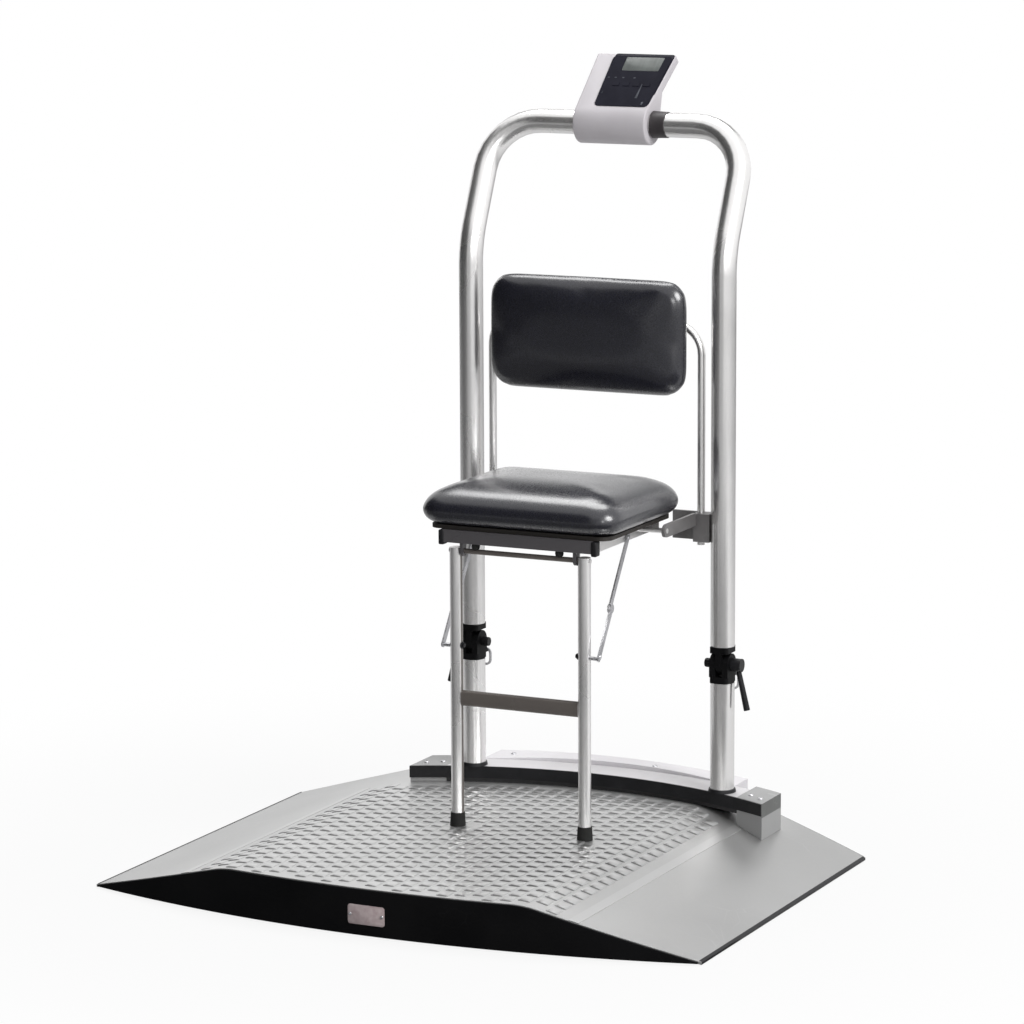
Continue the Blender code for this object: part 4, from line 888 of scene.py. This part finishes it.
# %% The block
# It has cut corners and sloped sides, with 8 points a ring, so hundreds of blocks stay light.
BLOCK_HALF, BLOCK_HEIGHT, BLOCK_BURY = (0.0098, 0.0122), 0.0011, 0.0006
BLOCK_CHAMFER, BLOCK_CORNER = 0.0019, 0.0022
levels = (0.0, -BLOCK_BURY), (BLOCK_CHAMFER * 0.15, BLOCK_HEIGHT * 0.35), (BLOCK_CHAMFER, BLOCK_HEIGHT)
rings = []
for inset, z in levels:
    a, b = (half - inset for half in BLOCK_HALF)
    c, d = a - BLOCK_CORNER, b - BLOCK_CORNER
    corners = ((a, d), (c, b), (-c, b), (-a, d), (-a, -d), (-c, -b), (c, -b), (a, -d))
    rings.append([(x, y, z) for x, y in corners])
block = loft("tread_block", rings)
print("block faces", len(block.data.polygons))

# %% Geometry Nodes: a short way to build and run a tree
MESH, OBJECT = "NodeSocketGeometry", "NodeSocketObject"
MATERIAL, WHOLE = "NodeSocketMaterial", "NodeSocketInt"


def grower(name, **inputs):
    """A Geometry Nodes tree with named inputs, and its inner nodes at hand."""
    tree = bpy.data.node_groups.new(name, "GeometryNodeTree")
    tree.interface.new_socket("Geometry", in_out="INPUT", socket_type=MESH)
    for label, kind in inputs.items():
        tree.interface.new_socket(label.replace("_", " "), in_out="INPUT", socket_type=kind)
    tree.interface.new_socket("Geometry", in_out="OUTPUT", socket_type=MESH)
    return tree, place(tree, "NodeGroupInput").outputs, place(tree, "NodeGroupOutput").inputs


def linked(tree, kind, sources, **settings):
    """A node with sockets wired to its inputs, which are named or numbered."""
    node = place(tree, kind, **settings)
    for key, source in sources.items():
        wire(tree, source, node.inputs[key])
    return node.outputs


def stored(tree, name):
    """A vector that each point carries under a name."""
    node = place(tree, "GeometryNodeInputNamedAttribute", data_type="FLOAT_VECTOR")
    node.inputs["Name"].default_value = name
    return node.outputs["Attribute"]


def stand_on(tree, out, points, part, rotation, finish):
    """The end of every tree: a part on each point, made real, painted and put out."""
    shape = linked(tree, "GeometryNodeObjectInfo", {"Object": part})["Geometry"]
    stand = linked(
        tree, "GeometryNodeInstanceOnPoints", {"Points": points, "Instance": shape, "Rotation": rotation},
    )
    real = linked(tree, "GeometryNodeRealizeInstances", {0: stand[0]})
    painted = linked(tree, "GeometryNodeSetMaterial", {"Geometry": real[0], "Material": finish})
    wire(tree, painted[0], out[0])
    print("tree", tree.name, len(tree.nodes), "nodes")


def grow(name, carrier, tree, **values):
    """Run a tree on a carrier, keep the result as a plain mesh, and drop the carrier."""
    modifier = carrier.modifiers.new("grow", "NODES")
    modifier.node_group = tree
    sockets = {item.name: item.identifier for item in tree.interface.items_tree if item.in_out == "INPUT"}
    for label, value in values.items():
        modifier[sockets[label.replace("_", " ")]] = value
    graph = bpy.context.evaluated_depsgraph_get()
    mesh = bpy.data.meshes.new_from_object(carrier.evaluated_get(graph))
    mesh.name = name
    carrier.modifiers.clear()
    bpy.data.objects.remove(carrier)
    obj = bpy.data.objects.new(name, mesh)
    bpy.context.collection.objects.link(obj)
    return obj


print("trees can be built")

# %% Geometry Nodes: slanted rows dropped on a surface
rows, given, out = grower(
    "slanted_rows", Step_X=FLOAT, Step_Y=FLOAT, Slant=FLOAT, Reach_X=FLOAT, Reach_Y=FLOAT,
    Block=OBJECT, Finish=MATERIAL,
)
sizes = {}
for axis in ("X", "Y"):
    reach = given["Reach " + axis]
    sizes["Size " + axis] = reach
    sizes["Vertices " + axis] = maths(rows, "ADD", maths(rows, "DIVIDE", reach, given["Step " + axis]), 1.5)
grid = linked(rows, "GeometryNodeMeshGrid", sizes)
here = axes_of(rows, place(rows, "GeometryNodeInputPosition").outputs[0])
shear = place(rows, "ShaderNodeCombineXYZ")
shear.inputs["Z"].default_value = 1.0
wire(rows, maths(rows, "MULTIPLY", here["X"], given["Slant"]), shear.inputs["Y"])
slanted = linked(rows, "GeometryNodeSetPosition", {"Geometry": grid["Mesh"], "Offset": shear.outputs[0]})
ray = place(rows, "GeometryNodeRaycast")
ray.inputs["Ray Direction"].default_value = (0, 0, -1)
ray.inputs["Ray Length"].default_value = 3.0
wire(rows, given["Geometry"], ray.inputs["Target Geometry"])
hit = ray.outputs
landed = linked(rows, "GeometryNodeMeshToPoints", {"Mesh": slanted[0], "Selection": hit["Is Hit"]})
keep = place(rows, "GeometryNodeStoreNamedAttribute", data_type="FLOAT_VECTOR", domain="POINT")
keep.inputs["Name"].default_value = "lean"
wire(rows, landed[0], keep.inputs["Geometry"])
wire(rows, hit["Hit Normal"], keep.inputs["Value"])
dropped = linked(
    rows, "GeometryNodeSetPosition", {"Geometry": keep.outputs[0], "Position": hit["Hit Position"]},
)
square = linked(
    rows, "FunctionNodeAlignRotationToVector", {"Vector": stored(rows, "lean")}, axis="Z", pivot_axis="Y",
)
stand_on(rows, out, dropped[0], given["Block"], square[0], given["Finish"])

# %% Lay the tread
STEP_X, STEP_Y, ROW_SLANT = 0.0237, 0.0295, 11.0 / 23.7
COLUMNS, ROWS = 26, 40
tread = grow(
    "tread_blocks", field, rows, Step_X=STEP_X, Step_Y=STEP_Y, Slant=ROW_SLANT,
    Reach_X=STEP_X * COLUMNS, Reach_Y=STEP_Y * ROWS, Block=block, Finish=tread_metal,
)
give(tread, "base", "satin_deck", tread_metal)
print("tread blocks", len(tread.data.polygons) // len(block.data.polygons))
bpy.data.objects.remove(block)

# %% [markdown]
# ## Tread plate, edge strips and tip trims
# The blocks belong to a thin plate that lies on the deck. A smooth strip finishes each of its sides, and a
# dark trim is folded round each ramp's tip, where wheels first touch. They are thin shells over the deck's
# own curve.

# %% Plate and strips
PLATE_HALF, STRIP_HALF, PLATE_BURY = 0.312, 0.327, 0.0008


def shell_over_deck(name, xs, lift, mat):
    """A thin closed shell over the deck: a ring of points round its section at each x."""
    rings = []
    for x in xs:
        ys = steps(front_edge(x) + 0.001, tread_rear(x) + 0.002, 24)
        z = deck_height(x)
        rings.append([(x, y, z + lift) for y in ys] + [(x, y, z - PLATE_BURY) for y in ys[::-1]])
    give(loft(name, rings), "base", "satin_deck", mat)


shell_over_deck("tread_plate", steps(-PLATE_HALF, PLATE_HALF, 64), 0.0002, deck_metal)
for side, sign in SIDES:
    xs = sorted(sign * x for x in steps(PLATE_HALF, STRIP_HALF, 4))
    shell_over_deck(f"tread_strip_{side}", xs, 0.0007, tread_metal)
print("plate and strips laid")

# %% Tip trims
# The section runs from the ramp's top round the tip and back under it; x and z are measured from the tip.
REACH, WALL = 0.004, 0.0007
section = [
    (-REACH, REACH * RAMP_SLOPE + WALL), (-0.0015, 0.0015 * RAMP_SLOPE + WALL), (0.0006, -0.0004),
    (0.0006, -0.0034), (-0.0004, -0.0044), (-REACH * 0.6, -0.0046), (-REACH * 0.6, -0.0035),
    (-REACH, REACH * RAMP_SLOPE - WALL),
]
for side, sign in SIDES:
    ys = steps(front_edge(DECK_HALF) + 0.002, REAR_CORNER_Y - 0.002, 12)
    rings = [[(sign * (DECK_HALF + dx), y, TIP_TOP + dz) for dx, dz in section] for y in ys]
    give(loft(f"tip_trim_{side}", rings), "base", "black_plastic")
print("tip trims folded round both tips")

# %% [markdown]
# ## The bare label plate
# The photograph shows a small pinkish-grey plate on the front skirt. A label's place is kept bare: a thin
# plate with round corners that follows the skirt's arc, held by two rivets.

# %% Label plate
label_finish, *_ = layered(
    "bare_label", (0.42, 0.34, 0.345), 0.45, 0.1, tones=(70.0, (0.33, 0.25, 0.255), (0.5, 0.43, 0.43)),
    scuffed=(90.0, 0.5, (0.6, 0.56, 0.55)), shine=(0.38, 0.55),
)


def rounded(half_a, half_b, corner, steps_each=5):
    """A rounded rectangle in its own plane, anticlockwise."""
    out = []
    for k, (sa, sb) in enumerate(((1, 1), (-1, 1), (-1, -1), (1, -1))):
        for i in range(steps_each + 1):
            turn = math.pi / 2 * (k + i / steps_each)
            a = sa * (half_a - corner) + corner * math.cos(turn)
            b = sb * (half_b - corner) + corner * math.sin(turn)
            out.append((a, b))
    return out


LABEL_X, LABEL_Z, LABEL_HALF, LABEL_CORNER = 0.003, 0.034, (0.030, 0.0147), 0.004
rings = []
for inset, stand_off in ((0.0, -0.0015), (0.0, 0.0006), (0.0005, 0.0010)):
    outline = rounded(LABEL_HALF[0] - inset, LABEL_HALF[1] - inset, LABEL_CORNER - inset)
    rings.append([
        (LABEL_X + dx, front_edge(LABEL_X + dx) - CLADDING - stand_off, LABEL_Z + dz) for dx, dz in outline
    ])
give(loft("label_plate", rings), "base", "pale_grey", label_finish)
print("label plate", [round(2000 * half, 1) for half in LABEL_HALF], "mm")

# %% [markdown]
# ## Hardware by Geometry Nodes
# Screws, bolts, rivets and ribs repeat all over the scale. One tree stands a chosen part on each point of a
# carrier, square to a stored direction, and turns each one by a seeded random angle, as a fitter leaves
# them. The carrier is one mesh of loose points for each group of parts, so a group comes out as one piece.

# %% Geometry Nodes: a part on each point
hardware, given, out = grower("hardware_on_points", Part=OBJECT, Seed=WHOLE, Finish=MATERIAL)
spots = linked(hardware, "GeometryNodeMeshToPoints", {"Mesh": given["Geometry"]})
aim = linked(hardware, "FunctionNodeAlignRotationToVector", {"Vector": stored(hardware, "facing")}, axis="Z")
any_turn = place(hardware, "FunctionNodeRandomValue", data_type="FLOAT")
any_turn.inputs[3].default_value = math.tau
wire(hardware, given["Seed"], any_turn.inputs["Seed"])
own_axis = linked(hardware, "FunctionNodeAxisAngleToRotation", {"Angle": any_turn.outputs[1]})
both = linked(hardware, "FunctionNodeRotateRotation", {0: aim[0], 1: own_axis[0]}, rotation_space="LOCAL")
stand_on(hardware, out, spots[0], given["Part"], both[0], given["Finish"])


def fit(name, part, spots, body, slot, seed):
    """Stand a part on each (place, direction) and give the result to a body."""
    carrier = mesh_object(name + "_spots", [spot for spot, _ in spots], [])
    facing = carrier.data.attributes.new("facing", "FLOAT_VECTOR", "POINT")
    facing.data.foreach_set("vector", [v for _, direction in spots for v in direction])
    give(grow(name, carrier, hardware, Part=part, Seed=seed, Finish=SLOTS[slot]), body, slot)
    print(name, len(spots), "pieces on", body)


# %% The parts: a socket screw, a dome rivet, a hexagon bolt on its washer
SUNK = -0.0006


def hexagon(radius, z, count=24):
    """A hexagon with as many points as a screw's head, so that the two can be joined."""
    out = []
    for i in range(count):
        turn = 2 * math.pi * i / count
        inside = (turn % (math.pi / 3)) - math.pi / 6
        r = radius * math.cos(math.pi / 6) / math.cos(inside)
        out.append((r * math.cos(turn), r * math.sin(turn), z))
    return out


def socket_screw(head, tall):
    """A button head with a hexagon socket in it."""
    profile = ((1, SUNK), (1, tall * 0.3), (0.86, tall * 0.8), (0.62, tall))
    rings = [ring_points(head * wide, 24, z) for wide, z in profile]
    return loft("socket_screw", rings + [hexagon(head * 0.42, tall), hexagon(head * 0.4, tall * 0.25)])


def hexagon_bolt(head, tall):
    rim = ((1.45, SUNK), (1.45, tall * 0.22), (1.38, tall * 0.3), (0.4, tall * 0.3))
    washer = turned("washer", [(head * wide, z) for wide, z in rim], count=20)
    nut_profile = ((1, tall * 0.3), (1, tall * 0.92), (0.9, tall))
    nut = loft("nut", [ring_points(head * wide, 6, z) for wide, z in nut_profile])
    merged = bmesh.new()
    merged.from_mesh(washer.data)
    merged.from_mesh(nut.data)
    merged.to_mesh(washer.data)
    merged.free()
    bpy.data.objects.remove(nut)
    return washer


screw = socket_screw(0.0042, 0.0022)
small_screw = socket_screw(0.0026, 0.0014)
dome = [(0.0036, SUNK), (0.0036, 0.0003), (0.0031, 0.0012), (0.0018, 0.0019), (0.0004, 0.0021)]
rivet = turned("rivet", dome, count=14)
bolt = hexagon_bolt(0.0038, 0.0046)
print("parts", screw.name, small_screw.name, rivet.name, bolt.name)

# %% Fit the base
UP, DOWN, FRONT, BACK, LEFT, RIGHT = (0, 0, 1), (0, 0, -1), (0, -1, 0), (0, 1, 0), (-1, 0, 0), (1, 0, 0)
BLOCK_TOP, COVER_HALF, COVER_CROWN = 0.0985, 0.2205, 0.007
cover_y, cover_top = middle_of("beam_cover")[1] + 0.004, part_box("beam_cover")[1].z
on_beam = [
    ((X0 + dx, cover_y, cover_top - COVER_CROWN + arc(dx, COVER_HALF, COVER_CROWN)), UP)
    for dx in (-0.185, -0.065, 0.065, 0.185)
]
on_beam += [
    ((X0 + sign * dx, BEAM_CORNER_Y + dy, BLOCK_TOP), UP)
    for sign in (-1, 1) for dx, dy in ((0.268, 0.045), (0.290, 0.030))
]
fit("beam_screws", screw, on_beam, "base", "zinc_steel", 3)
on_skirt = [
    ((x, REAR_CORNER_Y + arc(x, DECK_HALF, EDGE_BOW) + CLADDING, 0.03 - abs(x) * 0.03), BACK)
    for x in (-0.32, -0.16, 0.0, 0.16, 0.32)
]
fit("rear_skirt_screws", screw, on_skirt, "base", "black_plastic", 5)
on_label = [((LABEL_X + dx, front_edge(LABEL_X + dx) - 0.0043, LABEL_Z), FRONT) for dx in (-0.026, 0.026)]
fit("label_rivets", small_screw, on_label, "base", "zinc_steel", 9)

# %% Fit the backrest and the stays
# A rivet sits at the head of each upper link and at the foot of each lower one, on its outer side.
RIVET_INSET = 0.007
rest_low, rest_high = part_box("backrest_board")
behind_rest = [
    ((X0 + sign * 0.12, rest_high.y, z), BACK)
    for sign in (-1, 1) for z in (rest_low.z + 0.03, rest_high.z - 0.03)
]
fit("backrest_screws", screw, behind_rest, "rail", "zinc_steel", 11)
for stay, body in (("stay_upper", "stays_upper"), ("stay_lower", "stays_lower")):
    on_stays = []
    for side, facing in (("left", LEFT), ("right", RIGHT)):
        low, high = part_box(f"{stay}_{side}")
        outer = low.x if side == "left" else high.x
        head = (outer, high.y - RIVET_INSET, high.z - RIVET_INSET)
        foot = (outer, low.y + RIVET_INSET, low.z + RIVET_INSET)
        on_stays.append((head if stay == "stay_upper" else foot, facing))
    fit(f"{stay}_rivets", rivet, on_stays, body, "zinc_steel", 13)

# %% [markdown]
# ## Bumpers and end caps under the seat
# Small black things hang under the seat's front rail: two rubber bumpers that meet the legs' rung tube when
# it folds, and a plastic cap on each end of the rail. The bumpers are turned, and the caps are blocks with
# a big bevel.

# %% Bumpers and caps
BOARD_GAP, RAIL_HEIGHT = 0.0003, 0.020
BUMPER = [
    (0.0035, -0.004), (0.0035, 0.0), (0.0062, 0.0008), (0.0066, 0.004), (0.0058, 0.0078), (0.003, 0.0092),
    (0.0006, 0.0094),
]
CAP_HALF, CAP_BEVEL = (0.0045, 0.0078, 0.0115), 0.0022
seat_low, seat_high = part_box("seat_board")
rail_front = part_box("seat_frame")[0].y
rail_bottom = seat_low.z - BOARD_GAP - RAIL_HEIGHT
for side, x in (("left", -0.010), ("right", 0.130)):
    bumper = turned(f"seat_bumper_{side}", BUMPER, (x, rail_front + 0.008, rail_bottom), DOWN, 20)
    give(bumper, "seat", "rubber")


def capped_block(name, centre, half, bevel):
    """A block with bevelled edges, its place in its mesh."""
    corners = [Vector((i, j, k)) for i in (-1, 1) for j in (-1, 1) for k in (-1, 1)]
    points = [[c + sign * h for c, sign, h in zip(centre, corner, half)] for corner in corners]
    faces = [(0, 1, 3, 2), (4, 6, 7, 5), (0, 4, 5, 1), (2, 3, 7, 6), (0, 2, 6, 4), (1, 5, 7, 3)]
    obj = mesh_object(name, points, faces)
    work = bmesh.new()
    work.from_mesh(obj.data)
    bmesh.ops.bevel(work, geom=list(work.edges), offset=bevel, segments=3, affect="EDGES", profile=0.5)
    work.to_mesh(obj.data)
    work.free()
    return tidy(obj)


for side, sign in SIDES:
    centre = (X0 + sign * 0.1275, rail_front + 0.0065, rail_bottom + 0.0075)
    cap = capped_block(f"seat_rail_cap_{side}", centre, CAP_HALF, CAP_BEVEL)
    give(cap, "seat", "black_plastic")
print("bumpers and caps at", round(rail_bottom, 4))

# %% [markdown]
# ## The face of the display head
# The dark face sheet reaches almost to the head's upper and right edges, and its display fills the sheet's
# top. Both are thin plates laid on the head's slanted face, so one helper turns face coordinates into
# places: u runs up the face from the bar, and n stands off the bar's middle. The sheet has an opening for
# each key, cut with a Boolean, so that a pressed key goes into the sheet and not through it.

# %% Face coordinates and plates
HEAD_TILT, HEAD_TOP = math.radians(47), 0.118
SINE, COSINE = math.sin(HEAD_TILT), math.cos(HEAD_TILT)
BAR_Y, BAR_Z = middle_of("clutch_collar")[1:]
HEAD_RIGHT_END = X0 + 0.0655
FACE_BODY = body_of("head_panel")


def on_face(u, n):
    return (BAR_Y + u * SINE - n * COSINE, BAR_Z + u * COSINE + n * SINE)


def face_plate(name, across, along, off, corner, mat, slot):
    """A thin plate on the head's face, from its low and high ends. Its right end leans out with the head."""
    (x_low, x_high), (u_low, u_high), (n_low, n_high) = across, along, off
    middle_x, middle_u = (x_low + x_high) / 2, (u_low + u_high) / 2
    rings = []
    for n, inset in ((n_low, 0.0), (n_high - 0.0002, 0.0), (n_high, 0.0003)):
        ring = []
        for dx, du in rounded((x_high - x_low) / 2 - inset, (u_high - u_low) / 2 - inset, corner - inset):
            u = middle_u + du
            lean = (-0.008 + 0.012 * u / HEAD_TOP) if dx > 0 else 0.0
            ring.append((middle_x + dx + lean, *on_face(u, n)))
        rings.append(ring)
    return give(loft(name, rings), FACE_BODY, slot, mat)


print("bar axis at", round(BAR_Y, 4), round(BAR_Z, 4))

# %% Face sheet with its key openings
KEY_GAP, KEY_HALF_UP = 0.0003, 0.004
sheet_ends = (HEAD_RIGHT_END - 0.0985, HEAD_RIGHT_END - 0.0012)
sheet = face_plate(
    "face_sheet", sheet_ends, (0.03, 0.1172), (0.0318, 0.0329), 0.004, panel_face, "black_plastic",
)
key_places = []
for number in range(1, 5):
    key_low, key_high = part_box(f"key_{number}")
    key_y, key_z = middle_of(f"key_{number}")[1:]
    u = (key_y - BAR_Y) * SINE + (key_z - BAR_Z) * COSINE
    key_places.append(round(u, 4))
    left, right_end, half = key_low.x - KEY_GAP, key_high.x + KEY_GAP, KEY_HALF_UP + KEY_GAP
    corners = ((left, -half), (right_end, -half), (right_end, half), (left, half))
    cutter = loft("key_window", [[(x, *on_face(u + du, n)) for x, du in corners] for n in (0.03, 0.036)])
    cut = sheet.modifiers.new("window", "BOOLEAN")
    cut.operation, cut.object, cut.solver = "DIFFERENCE", cutter, "EXACT"
    bake(sheet)
    bpy.data.objects.remove(cutter)
print("key windows in the face sheet at", key_places, "faces", len(sheet.data.polygons))

# %% Display screen and marks
# The marks are plain bars and dots that say nothing: (distance from the panel's left end, u, half sizes).
mark_grey, *_ = layered(
    "face_mark_grey", (0.06, 0.064, 0.075), 0.5, tones=(90.0, (0.04, 0.043, 0.052), (0.085, 0.09, 0.105)),
    Specular_IOR_Level=0.05,
)
screen_ends = (HEAD_RIGHT_END - 0.0772, HEAD_RIGHT_END - 0.0152)
face_plate("display_screen", screen_ends, (0.0815, 0.1095), (0.0331, 0.0337), 0.0015, glass, "display_window")
PANEL_LEFT = HEAD_RIGHT_END - 0.1005
MARKS = [(dx, 0.0655, 0.0026, 0.0012) for dx in (0.0068, 0.0187, 0.032, 0.051)]
MARKS += [(0.069, 0.038, 0.0011, 0.0150), (0.0078, 0.034, 0.0022, 0.0022), (0.083, 0.0125, 0.005, 0.0035)]
for number, (dx, u, half_x, half_u) in enumerate(MARKS, 1):
    x = PANEL_LEFT + dx
    across, along = (x - half_x, x + half_x), (u - half_u, u + half_u)
    face_plate(f"face_mark_{number}", across, along, (0.0334, 0.03375), 0.001, mark_grey, "pale_grey")
print("marks on the face", len(MARKS))

# %% [markdown]
# ## Nuts and knob ribs
# A dark nut sits where each stay meets its leg. The release knobs are ribbed all round, so that wet fingers
# can pull them: a second small tree stands a slim rib on each point of a ring.

# %% Nuts at the stays' feet
LEG_RADIUS = 0.00975
leg_y = middle_of("leg_frame")[1]
on_legs = []
for side, sign, inwards in (("left", -1, RIGHT), ("right", 1, LEFT)):
    foot_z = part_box(f"stay_lower_{side}")[0].z + 0.006
    on_legs.append(((LEG_MIDDLE + sign * (LEG_HALF - LEG_RADIUS + 0.0004), leg_y, foot_z), inwards))
fit("stay_nuts", bolt, on_legs, body_of("leg_frame"), "black_plastic", 21)

# %% Geometry Nodes: ribs round a knob
ribbing, given, out = grower("ribs_round_a_knob", Count=WHOLE, Radius=FLOAT, Rib=OBJECT, Finish=MATERIAL)
circle = linked(ribbing, "GeometryNodeMeshCircle", {"Vertices": given["Count"], "Radius": given["Radius"]})
here = place(ribbing, "GeometryNodeInputPosition").outputs[0]
outwards = linked(ribbing, "FunctionNodeAlignRotationToVector", {"Vector": here}, axis="X", pivot_axis="Z")
stand_on(ribbing, out, circle[0], given["Rib"], outwards[0], given["Finish"])

# %% Rib the release knobs
KNOB_REACH, RIB_HALF = 0.00625, 0.0050
section = [(-0.0004, -0.0006), (0.0004, -0.00045), (0.0004, 0.00045), (-0.0004, 0.0006)]
rib = loft("knob_rib", [[(x, y, z) for x, y in section] for z in (-RIB_HALF, RIB_HALF)])
for side, sign in SIDES:
    low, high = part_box(f"release_knob_{side}")
    middle = (low + high) / 2
    middle.x = low.x + KNOB_REACH if sign > 0 else high.x - KNOB_REACH
    carrier = mesh_object("knob_spot", [(0, 0, 0)], [])
    ribs = grow(f"knob_ribs_{side}", carrier, ribbing, Count=18, Radius=0.00675, Rib=rib, Finish=plastic)
    ribs.data.transform(Matrix.Translation(middle) @ Matrix.Rotation(math.pi / 2, 4, "Y"))
    give(ribs, body_of(f"release_knob_{side}"), "black_plastic")
    print(ribs.name, [round(v, 4) for v in middle])
bpy.data.objects.remove(rib)

# %% [markdown]
# ## Cushions by cloth simulation
# A cushion is fabric pulled over foam: crowned on top, drawn in at its corners, flat only where its board
# is. The solid gives its size. A copy is shrunk a little, remeshed so that it has even points, and blown up
# as cloth with its underside held. How far a point may move is capped, so the pad stays inside the room
# that its solid holds.

# %% The simulation
PRESSURE, FRAMES, HELD_DEPTH = 0.8, 20, 0.003


def blow_up(pad, axis, side, cap):
    """Cloth with pressure and no gravity; each point's travel is capped."""
    rest = [v.co.copy() for v in pad.data.vertices]
    edge = min(v[axis] for v in rest) if side < 0 else max(v[axis] for v in rest)
    held = pad.vertex_groups.new(name="held")
    held.add([i for i, v in enumerate(rest) if abs(v[axis] - edge) < HELD_DEPTH], 1.0, "REPLACE")
    cloth = pad.modifiers.new("blow_up", "CLOTH")
    cloth.settings.use_pressure, cloth.settings.uniform_pressure_force = True, PRESSURE
    cloth.settings.effector_weights.gravity = 0.0
    cloth.settings.vertex_group_mass = "held"
    cloth.settings.quality = 5
    scene = bpy.context.scene
    for number in range(1, FRAMES + 1):
        scene.frame_set(number)
    blown = pad.evaluated_get(bpy.context.evaluated_depsgraph_get())
    moved = [v.co.copy() for v in blown.data.vertices]
    pad.modifiers.clear()
    for vertex, start, end in zip(pad.data.vertices, rest, moved):
        travel = end - start
        vertex.co = start + travel * min(1.0, cap / max(travel.length, 1e-9))
    pad.data.update()
    scene.frame_set(1)
    print("largest travel", round(max((e - s).length for s, e in zip(rest, moved)), 4), "capped at", cap)


print("cloth of pressure", PRESSURE, "for", FRAMES, "frames")

# %% A pad swollen from its solid
VOXEL, TRAVEL_CAP = 0.005, 0.003


def bake_smooth(obj):
    mesh = bake(obj)
    mesh.polygons.foreach_set("use_smooth", [True] * len(mesh.polygons))


def swollen(name, node, held_axis, held_side, shrink):
    """A pad that is blown up from its solid, with one side held on its board."""
    source = bmesh.new()
    source.from_mesh(NODES[node].data)
    bmesh.ops.remove_doubles(source, verts=source.verts, dist=1e-6)
    low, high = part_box(node)
    middle, size = (low + high) / 2, high - low
    for v in source.verts:
        for k in range(3):
            v.co[k] = middle[k] + (v.co[k] - middle[k]) * (size[k] - 2 * shrink[k]) / size[k]
    if held_side < 0:
        lift = low[held_axis] - min(v.co[held_axis] for v in source.verts)
    else:
        lift = high[held_axis] - max(v.co[held_axis] for v in source.verts)
    for v in source.verts:
        v.co[held_axis] += lift
    faces = [[v.index for v in f.verts] for f in source.faces]
    pad = mesh_object(name, [v.co for v in source.verts], faces, True)
    source.free()
    remesh = pad.modifiers.new("even_points", "REMESH")
    remesh.mode, remesh.voxel_size, remesh.use_smooth_shade = "VOXEL", VOXEL, True
    soften = pad.modifiers.new("soften", "SMOOTH")
    soften.factor, soften.iterations = 0.5, 4
    bake_smooth(pad)
    blow_up(pad, held_axis, held_side, TRAVEL_CAP)
    settle = pad.modifiers.new("settle", "SMOOTH")
    settle.factor, settle.iterations = 0.5, 16
    fine = pad.modifiers.new("fine", "SUBSURF")
    fine.levels = fine.render_levels = 1
    bake_smooth(pad)
    return pad


Y_AXIS, Z_AXIS = 1, 2
seat_pad = swollen("seat_pad", "seat_cushion", Z_AXIS, -1, (0.001, 0.001, 0.0))
give(seat_pad, "seat", "leatherette")
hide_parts("seat_cushion")
back_pad = swollen("back_pad", "backrest_pad", Y_AXIS, 1, (0.001, 0.001, 0.001))
give(back_pad, "rail", "leatherette")
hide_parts("backrest_pad")
print("pads", len(seat_pad.data.polygons), len(back_pad.data.polygons))

# %% [markdown]
# ## The screws under the seat
# Four screws come up through the board into the cushion. They are the last pieces that use the templates,
# which leave the scene here.

# %% Screws under the seat board
under_seat = [
    ((X0 + sign * 0.118, y, seat_low.z), DOWN)
    for sign in (-1, 1) for y in (seat_low.y + 0.05, seat_high.y - 0.05)
]
fit("seat_board_screws", screw, under_seat, "seat", "zinc_steel", 15)
for template in (screw, small_screw, rivet, bolt):
    bpy.data.objects.remove(template)
print("templates removed")

# %% Sizes
low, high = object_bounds()
